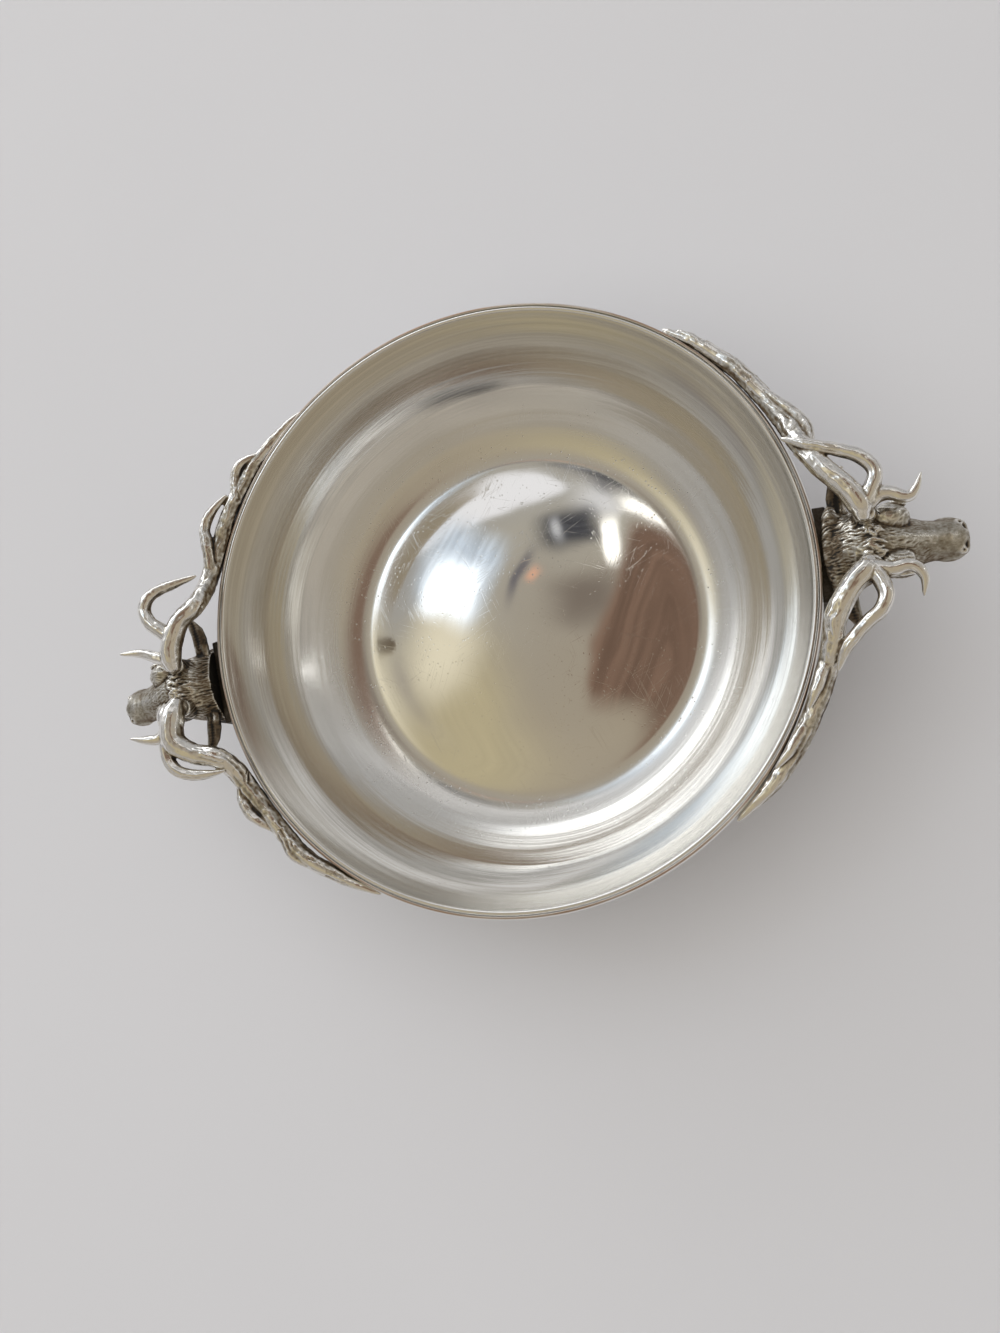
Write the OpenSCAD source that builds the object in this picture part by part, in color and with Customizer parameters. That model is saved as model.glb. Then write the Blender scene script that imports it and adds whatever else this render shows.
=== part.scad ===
// Quaich: a shallow silver drinking bowl with two stag-head handles.
// The bowl is raised from sheet with a domed floor, stands on a collet foot and has a wire round its lip.
// Each handle is a cast head on a saddle block that fits the wall. Its two antlers are castings of
// their own, each with a peg that sits in a socket on top of the head, and they lie along the rim.
// +X runs to the right handle, +Y to the back, +Z up. The foot stands on Z = 0 round the bowl's axis.

/* [Bowl] */
// Diameter over the wall at the lip
bowl_d = 115; // [105:1:130]
// Depth from the lip to the edge of the inside floor
bowl_depth = 26.5; // [22:0.5:32]
// Diameter of the inside floor
floor_d = 76; // [66:1:84]
// How much higher the domed floor is at its middle than at its edge
floor_rise = 5; // [2:0.5:8]
// Thickness of the wall
bowl_wall = 0.9; // [0.6:0.1:1.4]
// Slope of the wall where it leaves the floor, in degrees
wall_low_slope = 25; // [15:1:40]
// Slope of the wall at the lip, in degrees
wall_lip_slope = 85; // [75:1:88]

/* [Rim wire] */
// How far the wire stands out from the wall
wire_t = 0.8; // [0.5:0.1:1.4]
// Height of the wire
wire_h = 2.2; // [1.6:0.1:3]

/* [Foot] */
// Height of the bowl's lowest point above the table
foot_h = 5; // [3:0.5:9]
// Diameter over the foot where it meets the bowl
foot_neck_d = 58; // [48:1:62]
// Diameter over the foot where it stands
foot_base_d = 66; // [63:1:72]
// Thickness of the foot's wall
foot_wall = 1.4; // [1:0.1:2]
// Height of the foot's straight edge
foot_edge_h = 1.2; // [0.8:0.1:2]
// Width of the flat ring that the foot stands on
foot_land = 2.4; // [1.8:0.1:3]

/* [Handles] */
// Angle from the bowl's cross line to each handle, towards the front, in degrees
handle_swing = 4; // [0:0.5:6]
// Distance from the lip's outside to the flat face that carries the head
saddle_reach = 2.6; // [2:0.1:4]
// Width of the saddle block
saddle_w = 17; // [15:0.5:20]
// Height of the saddle block
saddle_h = 9.5; // [7:0.5:12]
// Length of the head from the saddle to the nose
head_l = 22.4; // [20:0.2:26]
// Width of the neck at the saddle
neck_w = 15.6; // [13:0.2:17]
// Height of the neck at the saddle
neck_h = 13; // [11:0.5:15]
// Height of the top of the head above the lip
poll_rise = 4.2; // [3:0.1:5.5]
// Drop of the nose's middle below the lip
nose_drop = 3.8; // [2:0.1:6]
// Length of an ear
ear_l = 8.5; // [6:0.5:10]
// Diameter of an eye
eye_d = 4; // [3.2:0.1:4.6]

/* [Antlers] */
// Thickness of an antler's beam at its root
antler_d = 3.6; // [3:0.1:4.2]
// Stand-off of the longest brow tine's tip from the rim wire
antler_reach = 18; // [15:0.5:21]
// Rise of an antler's highest bend above its root
crest_rise = 0.9; // [0.5:0.1:2]
// Distance from the lip's outside to the middle of an antler's seat
root_out = 8.4; // [7.5:0.1:9.5]
// Distance between the middles of a head's two antler seats
root_gap = 8.8; // [7.5:0.1:9.5]
// Height of an antler's seat above the lip
seat_rise = 3.2; // [2.6:0.1:4]
// Diameter of the peg under an antler
peg_d = 1.8; // [1.4:0.1:2.2]
// Length of the peg
peg_l = 2.4; // [1.6:0.1:3]

/* [Fits] */
// Room for solder between two pieces
solder_gap = 0.1; // [0.05:0.01:0.2]
// Room round a peg in its socket
peg_gap = 0.1; // [0.05:0.01:0.2]
// Room between an antler and the rim wire that it lies along
rest_gap = 0.2; // [0.1:0.05:0.3]

/* [Hidden] */
$fn = 96;
eps = 0.01;

bright = "silver";
cast = "darkgray";

lip_r = bowl_d / 2;
floor_r = floor_d / 2;
rim_z = foot_h + bowl_wall + bowl_depth;
wire_r = lip_r + wire_t;
saddle_face = lip_r + saddle_reach;
right_turn = -handle_swing;
left_turn = 180 + handle_swing;

// Bowl's section: the floor is a low dome and the wall an arc from one slope to the other.
wall_steps = 18;
floor_steps = 6;
inner_lip_r = lip_r - bowl_wall / sin(wall_lip_slope);
arc_r = (inner_lip_r - floor_r) / (sin(wall_lip_slope) - sin(wall_low_slope));
arc_z = bowl_depth / (cos(wall_low_slope) - cos(wall_lip_slope));

function floor_z(r) = rim_z - bowl_depth + floor_rise * (1 - pow(r / floor_r, 2));
function under_z(r) = floor_z(r) - bowl_wall;
function wall_slope(i) = wall_low_slope + (wall_lip_slope - wall_low_slope) * i / wall_steps;
function wall_in(t) = [
  floor_r + arc_r * (sin(t) - sin(wall_low_slope)),
  rim_z - bowl_depth + arc_z * (cos(wall_low_slope) - cos(t))];
function wall_out_dir(t) = unit([arc_z * sin(t), -arc_r * cos(t)]);
function wall_out(t, extra = 0) = wall_in(t) + (bowl_wall + extra) * wall_out_dir(t);
function unit(v) = v / norm(v);
function mix(a, b, t) = a + (b - a) * t;

inner_side = concat(
  [for (i = [0 : floor_steps - 1]) let (r = floor_r * i / floor_steps) [r, floor_z(r)]],
  [for (i = [0 : wall_steps]) wall_in(wall_slope(i))]);

// Outside of the wall, moved out by extra and cut level at the lip.
function outer_side(extra = 0) = concat(
  [for (i = [0 : floor_steps]) let (r = floor_r * i / floor_steps) [r, under_z(r) - extra]],
  [for (i = [0 : wall_steps - 1]) wall_out(wall_slope(i), extra)],
  [[lip_r + extra / sin(wall_lip_slope), rim_z]]);

function reversed(list) = [for (i = [len(list) - 1 : -1 : 0]) list[i]];

module bowl() {
  color(bright)
    rotate_extrude()
      polygon(concat(outer_side(), reversed(inner_side)));
}

// The bowl as a solid plug, with room for solder, for cutting seats that fit its wall.
module bowl_plug() {
  rotate_extrude()
    polygon(concat(outer_side(solder_gap), [[0, rim_z]]));
}

module rim_wire() {
  // Half-round outside, flat for a share of its thickness, and inside the slope of the wall behind it.
  round_steps = 10;
  flat_share = 0.3;
  lean = wire_h / tan(wall_lip_slope);
  inner_top = lip_r + solder_gap;
  color(bright)
    rotate_extrude()
      polygon(concat(
        [[inner_top - lean, rim_z - wire_h]],
        [for (i = [0 : round_steps]) let (a = -90 + 180 * i / round_steps)
          [mix(inner_top, wire_r, mix(flat_share, 1, cos(a))), rim_z - wire_h / 2 * (1 - sin(a))]],
        [[inner_top, rim_z]]));
}

module foot_ring() {
  // A collet: a seat that follows the bowl's underside, a flared wall and a flat ring to stand on.
  flare_steps = 8;
  base_r = foot_base_d / 2;
  neck_r = foot_neck_d / 2;
  seat_in = neck_r - foot_wall;
  function flare(i) = let (t = i / flare_steps)
    [mix(base_r, neck_r, sin(90 * t)), mix(foot_edge_h, under_z(neck_r) - solder_gap, 1 - cos(90 * t))];
  color(bright)
    rotate_extrude()
      polygon(concat(
        [[base_r - foot_land, 0], [base_r, 0]],
        [for (i = [0 : flare_steps]) flare(i)],
        [[mix(seat_in, neck_r, 0.5), under_z(mix(seat_in, neck_r, 0.5)) - solder_gap]],
        [[seat_in, under_z(seat_in) - solder_gap]],
        [for (i = [flare_steps - 1 : -1 : 2]) flare(i) - [foot_wall, 0]]));
}

// A block whose inner face fits the wall under the rim wire and whose outer face is flat.
module saddle(turn) {
  top = rim_z - wire_h - solder_gap;
  color(cast)
    difference() {
      rotate([0, 0, turn])
        translate([0, -saddle_w / 2, top - saddle_h])
          cube([saddle_face, saddle_w, saddle_h]);
      bowl_plug();
    }
}

// Head. Each section is [share of the length, share of the neck's width, top, bottom]: the top and
// the bottom are shares of the way from the neck's underside to the top of the head.
head_sections = [
  [0.00, 1.00, 0.78, 0.00], [0.08, 0.98, 0.86, 0.06], [0.18, 0.90, 0.95, 0.14], [0.28, 0.80, 1.00, 0.22],
  [0.38, 0.74, 0.99, 0.27], [0.48, 0.69, 0.91, 0.30], [0.58, 0.60, 0.80, 0.31], [0.68, 0.53, 0.70, 0.31],
  [0.78, 0.49, 0.62, 0.30], [0.88, 0.46, 0.57, 0.28], [0.95, 0.42, 0.53, 0.30], [0.99, 0.28, 0.48, 0.36]];
head_sides = 20;
ball_sides = 8;
neck_low = poll_rise - neck_h / head_sections[0][2];
// From the poll to the nose the sections are bent until the nose's middle is at its drop.
bend_start = 0.3;
bend_power = 1.2;
nose_share = 0.42;
nose_bend = -nose_drop - mix(neck_low, poll_rise, nose_share);
function head_x(s) = saddle_face + solder_gap + head_l * s;
function head_bend(s) = nose_bend * pow(max(0, s - bend_start) / (1 - bend_start), bend_power);
function head_z(s, share) = mix(neck_low, poll_rise, share) + head_bend(s);
head_fullness = 0.85;
function fuller(v) = sign(v) * pow(abs(v), head_fullness);
function head_ring(q) = let (
    top = head_z(q[0], q[2]),
    bottom = head_z(q[0], q[3]))
  [for (i = [0 : head_sides - 1]) let (a = 360 * i / head_sides)
    [head_x(q[0]), neck_w / 2 * q[1] * fuller(cos(a)), mix(bottom, top, 0.5 + 0.5 * fuller(sin(a)))]];

// A closed skin over rings that all have the same number of points.
module skin(rings) {
  n = len(rings[0]);
  last = len(rings) - 1;
  polyhedron(
    points = [for (ring = rings) each ring],
    faces = concat(
      [[for (i = [0 : n - 1]) i]],
      [for (k = [0 : last - 1], i = [0 : n - 1], half = [0, 1]) let (
          a = k * n + i,
          b = k * n + (i + 1) % n)
        half == 0 ? [a, a + n, b] : [b, a + n, b + n]],
      [[for (i = [n - 1 : -1 : 0]) last * n + i]]));
}

module ball(place, d) {
  translate(place) sphere(d = d, $fn = ball_sides);
}

// Two balls joined, for tines' tips, ears, brows and tufts.
module link(p, d, q, e) {
  hull() {
    ball(p, d);
    ball(q, e);
  }
}

root_r = lip_r + root_out;
root_angle = asin(root_gap / 2 / root_r);
function root_place(side) = [root_r * cos(root_angle), side * root_r * sin(root_angle), seat_rise];
coronet_d = antler_d * 1.05;
coronet_h = antler_d * 0.2;

// Stump on the skull whose flat top carries an antler.
module pedicle(side) {
  p = root_place(side);
  hull() {
    translate(p - [0, 0, coronet_h])
      cylinder(d = coronet_d, h = coronet_h, $fn = 24);
    ball([p[0], p[1] * 0.8, p[2] - antler_d], antler_d);
  }
}

// Socket for an antler's peg, and the flat filed round it for the antler to sit on.
module socket(side) {
  translate(root_place(side) - [0, 0, peg_l + peg_gap])
    cylinder(d = peg_d + 2 * peg_gap, h = peg_l + peg_gap + eps, $fn = 24);
  translate(root_place(side))
    cylinder(d = coronet_d + coronet_h + 2 * peg_gap, h = antler_d, $fn = 24);
}

// Places on the head are given as shares, like the sections: along, across and up.
function on_head(along, across, up) = [head_x(along), neck_w * across, head_z(along, up)];
ear_root = [0.07, 0.38, 0.66];
eye_spot = [0.47, 0.29, 0.76];
nostril_spot = [0.97, 0.12, 0.5];
mouth_start = 0.8;
mouth_middle = 0.92;
mouth_up = 0.36;
mouth_tilt = 10;

// Ear: a leaf that stands out sideways behind the antler's seat.
module ear(side) {
  base = on_head(ear_root[0], side * ear_root[1], ear_root[2]);
  middle = base + ear_l * [-0.02, side * 0.45, 0.06];
  tip = base + ear_l * [0.2, side * 0.95, 0.16];
  width = ear_l * 0.32;
  link(base, width * 0.8, middle, width);
  link(middle, width, tip, width * 0.3);
}

// Eyeball under a ridge of brow.
module brow(side) {
  eye = on_head(eye_spot[0], side * eye_spot[1], eye_spot[2]);
  ball(eye, eye_d);
  link(eye + eye_d * [-0.5, 0, 0.24], eye_d * 0.5, eye + eye_d * [0.4, 0, 0.2], eye_d * 0.4);
}

module nostril(side) {
  ball(on_head(nostril_spot[0], side * nostril_spot[1], nostril_spot[2]), neck_w * 0.07);
}

module mouth() {
  slit = head_l * 0.02;
  translate([head_x(mouth_start), -neck_w / 2, head_z(mouth_middle, mouth_up)])
    rotate([0, mouth_tilt, 0])
      cube([head_l * 0.3, neck_w, slit]);
}

// Hair: a forelock on the brow and tufts down the back of the neck.
tuft_rows = [0.14, 0.22, 0.3];
tuft_lanes = [-0.18, 0, 0.18];
tuft_step = 0.07;
module tufts() {
  d = neck_w * 0.11;
  for (s = tuft_rows, lane = tuft_lanes)
    link(on_head(s, lane, 0.93 - 1.6 * lane * lane), d,
      on_head(s - tuft_step, lane * 1.2, 0.86 - 2.2 * lane * lane), d * 0.5);
}

module stag_head(turn) {
  color(cast)
    translate([0, 0, rim_z])
      rotate([0, 0, turn])
        difference() {
          union() {
            skin([for (q = head_sections) head_ring(q)]);
            for (side = [-1, 1]) {
              pedicle(side);
              ear(side);
              brow(side);
            }
            tufts();
          }
          for (side = [-1, 1]) {
            socket(side);
            nostril(side);
          }
          mouth();
        }
}

// Antlers. A limb is a list of stations, each [angle from the head round the rim, stand-off from the
// wire, height, thickness]. Stand-off and thickness are percentages of antler_reach and antler_d. A
// height of 0 is the lip's, root_percent is the middle of the beam at its root and 100 the highest bend.
limb_sides = 8;
limb_steps = 2;
root_percent = 85;
root_mid = seat_rise + solder_gap + antler_d / 2;
function limb_z(h) = h < root_percent
  ? root_mid * h / root_percent
  : root_mid + crest_rise * (h - root_percent) / (100 - root_percent);
function station(q, side) = let (
    d = antler_d * q[3] / 100,
    r = wire_r + rest_gap + antler_reach * q[1] / 100 + d / 2)
  [r * cos(q[0]), side * r * sin(q[0]), limb_z(q[2]), d];

// Curve through four neighbours, between the second and the third.
function curve(a, b, c, d, t) =
  0.5 * (2 * b + (c - a) * t + (2 * a - 5 * b + 4 * c - d) * t * t + (3 * b - a - 3 * c + d) * t * t * t);
function smooth(list) = let (last = len(list) - 1) concat(
  [for (i = [0 : last - 1], k = [0 : limb_steps - 1])
    curve(list[max(i - 1, 0)], list[i], list[i + 1], list[min(i + 2, last)], k / limb_steps)],
  [list[last]]);

function place(q) = [q[0], q[1], q[2]];
function limb_ring(path, k) = let (
    last = len(path) - 1,
    along = unit(place(path[min(k + 1, last)]) - place(path[max(k - 1, 0)])),
    flat = unit(cross([0, 0, 1], along)),
    up = cross(along, flat))
  [for (i = [0 : limb_sides - 1]) let (a = 360 * i / limb_sides)
    place(path[k]) + path[k][3] / 2 * (cos(a) * flat + sin(a) * up)];

module limb(stations, side) {
  path = smooth([for (q = stations) station(q, side)]);
  last = len(path) - 1;
  tip = place(path[last]);
  skin([for (k = [0 : last]) limb_ring(path, k)]);
  link(tip, path[last][3], tip + unit(tip - place(path[last - 1])) * path[last][3], path[last][3] * 0.6);
}

// Ring of pearls at an antler's root, with the peg under it.
pearls = 8;
module coronet(side) {
  p = root_place(side);
  translate(p + [0, 0, solder_gap])
    cylinder(d = coronet_d, h = coronet_h, $fn = 24);
  translate(p + [0, 0, solder_gap - peg_l])
    cylinder(d = peg_d, h = peg_l + eps, $fn = 24);
  for (i = [1 : pearls]) {
    out = coronet_d / 2 * [cos(360 * i / pearls), sin(360 * i / pearls), 0];
    foot = p + out + [0, 0, solder_gap + coronet_h];
    link(foot, coronet_h, foot + [0, 0, coronet_h] - out * 0.3, coronet_h * 0.8);
  }
}

module antler(turn, side, limbs) {
  color(cast)
    translate([0, 0, rim_z])
      rotate([0, 0, turn]) {
        coronet(side);
        for (stations = limbs)
          limb(stations, side);
      }
}

// Each list below holds the beam, the brow tine, the hooked second tine and the tines near the end.
right_back_limbs = [
  [[3.8, 34, 86, 100], [8, 23, 92, 95], [12.5, 11, 84, 90], [17.5, 1, 55, 90], [22, 3, 30, 90],
    [25.5, 5, 15, 85], [30, 6, 8, 83], [36.5, 6, 8, 78], [40.5, 5, 0, 72], [45, 5, 0, 60], [51, 6, -8, 30]],
  [[4.5, 36, 82, 70], [5.8, 50, 84, 66], [5.6, 64, 92, 56], [4.4, 77, 92, 48], [5.8, 93, 100, 22]],
  [[4.6, 35, 86, 72], [6.8, 46, 98, 66], [9, 54, 100, 61], [11.6, 47, 100, 60], [14, 31, 94, 55],
    [16.6, 12, 92, 48], [19.2, -4, 84, 26]],
  [[16, 8, 55, 66], [20, 18, 42, 61], [24, 17, 33, 55], [28, 13, 25, 45], [31, 13, 25, 24]],
  [[33, 8, 10, 56], [37, 11, 17, 48], [41.5, 10, 14, 24]],
  [[43, 6, 0, 50], [46, 9, 6, 42], [48.5, 10, 6, 24]]];
right_front_limbs = [
  [[3.8, 31, 86, 100], [7, 15, 88, 95], [11.5, 5, 75, 94], [16, 4, 58, 90], [20, 6, 33, 90],
    [24, 5, 25, 88], [29, 4, 17, 83], [34, 4, 8, 78], [38, 4, 0, 72], [41.5, 3, -5, 60], [47.5, 1, -13, 30]],
  [[4.3, 36, 82, 70], [4.6, 62, 90, 56], [4.8, 77, 92, 46], [7.5, 85, 84, 22]],
  [[4.5, 36, 86, 72], [8, 47, 100, 66], [10.6, 44, 100, 61], [12.6, 33, 92, 56], [16.4, 20, 84, 50],
    [19.2, 20, 75, 26]],
  [[19, 7, 48, 61], [23, 6, 66, 50], [26, 8, 68, 24]],
  [[30, 4, 28, 56], [34, 2, 36, 45], [37, 1, 34, 24]],
  [[37, 5, 5, 56], [40.5, 9, 4, 44], [43, 10, 2, 24]]];
left_back_limbs = [
  [[3.8, 30, 86, 100], [7, 28, 90, 100], [11, 18, 92, 95], [14.5, 6, 67, 94], [18.5, 2, 25, 90],
    [22.5, 2, 8, 90], [27, 3, 0, 88], [31.5, 5, 8, 83], [36.5, 7, 8, 78], [40.5, 5, 0, 76], [44.5, 3, 0, 70],
    [50, 3, -8, 56], [54.5, 1, -13, 42], [58, 0, -17, 22]],
  [[4.4, 34, 82, 70], [5.5, 54, 84, 58], [6.6, 74, 82, 46], [6.8, 96, 92, 22]],
  [[9, 26, 90, 78], [11.4, 44, 98, 68], [11.8, 61, 100, 62], [14, 66, 100, 61], [17, 56, 92, 55],
    [18, 34, 84, 50], [20.5, 18, 75, 26]],
  [[21, 4, 14, 72], [26.5, 15, 33, 66], [29, 25, 33, 55], [32, 25, 33, 50], [35.5, 19, 33, 26]],
  [[37, 8, 8, 61], [41, 18, 17, 55], [44, 16, 17, 44], [46.5, 9, 8, 26]]];
left_front_limbs = [
  [[3.8, 35, 86, 100], [7, 42, 94, 105], [9.8, 43, 92, 110], [12.5, 30, 84, 100], [15, 11, 67, 100],
    [18.5, 5, 33, 94], [22, 3, 17, 90], [27, 4, 8, 83], [33, 8, 0, 83], [39, 9, 0, 78], [45, 7, -8, 66],
    [49, 2, -8, 50], [53.5, 0, -17, 26]],
  [[4.6, 40, 82, 70], [7.5, 64, 80, 56], [7.2, 82, 87, 45], [6.3, 99, 92, 22]],
  [[8.5, 46, 90, 80], [10, 58, 92, 66], [12.8, 61, 92, 61], [15, 58, 92, 56], [16.8, 47, 84, 55],
    [18.5, 22, 84, 26]],
  [[20.5, 5, 20, 66], [22.5, 17, 17, 61], [25.5, 21, 25, 55], [28, 19, 25, 50], [30.5, 18, 17, 26]],
  [[33, 9, 4, 61], [37, 16, 8, 55], [42, 14, 5, 26]]];

bowl();
rim_wire();
foot_ring();
saddle(right_turn);  // right_saddle
saddle(left_turn);  // left_saddle
stag_head(right_turn);  // right_stag_head
stag_head(left_turn);  // left_stag_head
antler(right_turn, 1, right_back_limbs);  // right_back_antler
antler(right_turn, -1, right_front_limbs);  // right_front_antler
antler(left_turn, -1, left_back_limbs);  // left_back_antler
antler(left_turn, 1, left_front_limbs);  // left_front_antler
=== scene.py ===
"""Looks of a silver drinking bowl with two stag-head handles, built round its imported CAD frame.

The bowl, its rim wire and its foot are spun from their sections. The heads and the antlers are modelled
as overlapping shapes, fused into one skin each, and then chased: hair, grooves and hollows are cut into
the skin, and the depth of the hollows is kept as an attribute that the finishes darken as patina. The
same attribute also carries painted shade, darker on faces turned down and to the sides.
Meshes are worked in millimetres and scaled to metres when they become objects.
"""

import logging
import math
from collections.abc import Callable, Sequence
from dataclasses import dataclass
from enum import Enum

import bmesh
import bpy
import numpy as np
from mathutils import Matrix, Vector, kdtree, noise


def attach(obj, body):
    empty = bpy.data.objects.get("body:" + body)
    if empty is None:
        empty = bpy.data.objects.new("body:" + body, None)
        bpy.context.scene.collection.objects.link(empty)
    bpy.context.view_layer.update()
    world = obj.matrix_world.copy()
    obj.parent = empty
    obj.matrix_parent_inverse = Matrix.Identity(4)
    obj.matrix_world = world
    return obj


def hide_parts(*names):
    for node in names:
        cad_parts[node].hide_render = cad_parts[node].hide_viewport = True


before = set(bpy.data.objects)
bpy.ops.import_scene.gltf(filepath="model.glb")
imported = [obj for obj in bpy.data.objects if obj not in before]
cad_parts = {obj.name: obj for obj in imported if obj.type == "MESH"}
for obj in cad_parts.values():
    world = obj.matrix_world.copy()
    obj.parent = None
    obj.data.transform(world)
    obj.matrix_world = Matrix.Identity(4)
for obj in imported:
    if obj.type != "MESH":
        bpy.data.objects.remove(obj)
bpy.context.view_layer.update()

LOG = logging.getLogger("quaich")
MM = 0.001
# Name of the point attribute: patina in the hollows plus painted shade on flanks and undersides.
TARNISH_AND_SHADE = "tarnish_and_shade"
Colour = tuple[float, float, float]
Point = tuple[float, float, float]
Station = tuple[float, float, float, float]
UP = Vector((0.0, 0.0, 1.0))
# The values of a step that falls.
FALL = (1.0, 0.0)
# Rings of a limb's rounded ends, at shares of its radius beyond the end.
ROOT_CAP, TIP_CAP = (-0.95, -0.7), (0.5, 0.85)


def operator(operation: str, swapped: bool = False) -> "Callable[[Value, Value | float], Value]":
    """Writes one kind of Math node as arithmetic.

    Args:
        operation: The node's operation.
        swapped: Whether the value is the second term.

    Returns:
        The method that adds the node.
    """

    def method(self: "Value", other: "Value | float") -> "Value":
        """Adds the node."""
        return self.math(operation, other, self) if swapped else self.math(operation, self, other)

    return method


class Value:
    """An output socket. Arithmetic on it adds Math nodes to its graph."""

    def __init__(self, graph: "Graph", socket: bpy.types.NodeSocket) -> None:
        """Keeps the graph and the socket."""
        self.graph = graph
        self.socket = socket

    def math(self, operation: str, first: "Value | float", second: "Value | float" = 0.0) -> "Value":
        """Adds one Math node of one or two terms."""
        return self.graph.node("ShaderNodeMath", {"operation": operation}, {0: first, 1: second})

    __add__ = __radd__ = operator("ADD")
    __mul__ = __rmul__ = operator("MULTIPLY")
    __sub__, __rsub__ = operator("SUBTRACT"), operator("SUBTRACT", True)
    __truediv__ = operator("DIVIDE")
    __pow__ = operator("POWER")
    at_least = operator("MAXIMUM")

    def __abs__(self) -> "Value":
        """Size without its sign."""
        return self.math("ABSOLUTE", self)

    def step(self, low: float, high: float, to: tuple[float, float] = (0.0, 1.0)) -> "Value":
        """A soft step from low to high. The values before and after it are a pair."""
        return self.graph.node(
            "ShaderNodeMapRange",
            {"interpolation_type": "SMOOTHSTEP"},
            {"Value": self, "From Min": low, "From Max": high, "To Min": to[0], "To Max": to[1]},
        )


class Graph:
    """A node tree, and the ways of adding to it."""

    def __init__(self, tree: bpy.types.NodeTree) -> None:
        """Keeps the tree."""
        self.tree = tree

    def node(
        self,
        kind: str,
        settings: dict[str, object] | None = None,
        inputs: dict[str | int, object] | None = None,
        output: str | int = 0,
    ) -> Value:
        """Adds one node.

        Args:
            kind: The node's type.
            settings: Its own properties, set first.
            inputs: Values or links of its input sockets, by name or number.
            output: The output to hand on.

        Returns:
            That output.
        """
        added = self.tree.nodes.new(kind)
        for name, setting in (settings or {}).items():
            setattr(added, name, setting)
        self.feed(added, inputs or {})
        return Value(self, added.outputs[output])

    def feed(self, node: bpy.types.Node, inputs: dict[str | int, object]) -> None:
        """Sets or links a node's inputs.

        Args:
            node: The node.
            inputs: Values or links, by socket name or number.
        """
        for key, given in inputs.items():
            socket = node.inputs[key]
            if isinstance(given, Value):
                self.tree.links.new(given.socket, socket)
            elif isinstance(given, tuple) and socket.type == "RGBA":
                socket.default_value = (*given, 1.0)
            else:
                socket.default_value = given

    def blend(self, factor: Value, first: "Colour | Value", second: "Colour | Value") -> Value:
        """Mixes two colours by a factor."""
        return self.node("ShaderNodeMix", {"data_type": "RGBA"}, {0: factor, 6: first, 7: second}, 2)

    def ramp(self, factor: Value, stops: Sequence[tuple[float, Colour]]) -> Value:
        """A run of colours.

        Args:
            factor: Where along the run it is read.
            stops: Places from 0 to 1, each with its colour.

        Returns:
            The colour.
        """
        made = self.node("ShaderNodeValToRGB", {}, {0: factor})
        band = made.socket.node.color_ramp
        while len(band.elements) < len(stops):
            band.elements.new(1.0)
        for element, (place, colour) in zip(band.elements, stops):
            element.position, element.color = place, (*colour, 1.0)
        return made

    def joined(self, x: "Value | float", y: "Value | float", z: "Value | float") -> Value:
        """A vector of three values."""
        return self.node("ShaderNodeCombineXYZ", {}, {0: x, 1: y, 2: z})

    def dot(self, first: Value, second: Sequence[float]) -> Value:
        """Dot product with a fixed vector."""
        return self.node("ShaderNodeVectorMath", {"operation": "DOT_PRODUCT"}, {0: first, 1: second}, "Value")

    def noise(self, place: Value, scale: float, detail: float = 2.0, warp: float = 0.0) -> Value:
        """Cloudy noise from 0 to 1, with so many clouds to a unit, finer layers and twist."""
        inputs = {"Vector": place, "Scale": scale, "Detail": detail, "Distortion": warp}
        return self.node("ShaderNodeTexNoise", {}, inputs)

    def millimetres(self) -> Value:
        """The point on the piece in millimetres."""
        place = self.node("ShaderNodeTexCoord", {}, {}, "Object")
        return self.node("ShaderNodeVectorMath", {"operation": "SCALE"}, {0: place, "Scale": 1 / MM})

    def split(self, vector: Value) -> tuple[Value, Value, Value]:
        """The three parts of a vector."""
        node = self.node("ShaderNodeSeparateXYZ", {}, {0: vector}).socket.node
        return tuple(Value(self, node.outputs[i]) for i in range(3))

    def bump(self, height: Value, depth_mm: float, strength: float) -> Value:
        """A normal that is bent by a height from 0 to 1."""
        inputs = {"Height": height, "Distance": depth_mm * MM, "Strength": strength}
        return self.node("ShaderNodeBump", {}, inputs)


@dataclass(frozen=True)
class Finish:
    """A surface of the bowl, as a material."""

    slot: str
    bright: Colour

    def shade(self, graph: Graph, shader: bpy.types.Node) -> None:
        """Fills in the shader's inputs. Each finish has its own way."""
        raise NotImplementedError

    def material(self) -> bpy.types.Material:
        """Makes the material, named for its slot.

        Returns:
            The material.
        """
        made = bpy.data.materials.new(self.slot)
        made.use_nodes = True
        made.diffuse_color = (*self.bright, 1.0)
        graph = Graph(made.node_tree)
        self.shade(graph, made.node_tree.nodes["Principled BSDF"])
        return made


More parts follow.
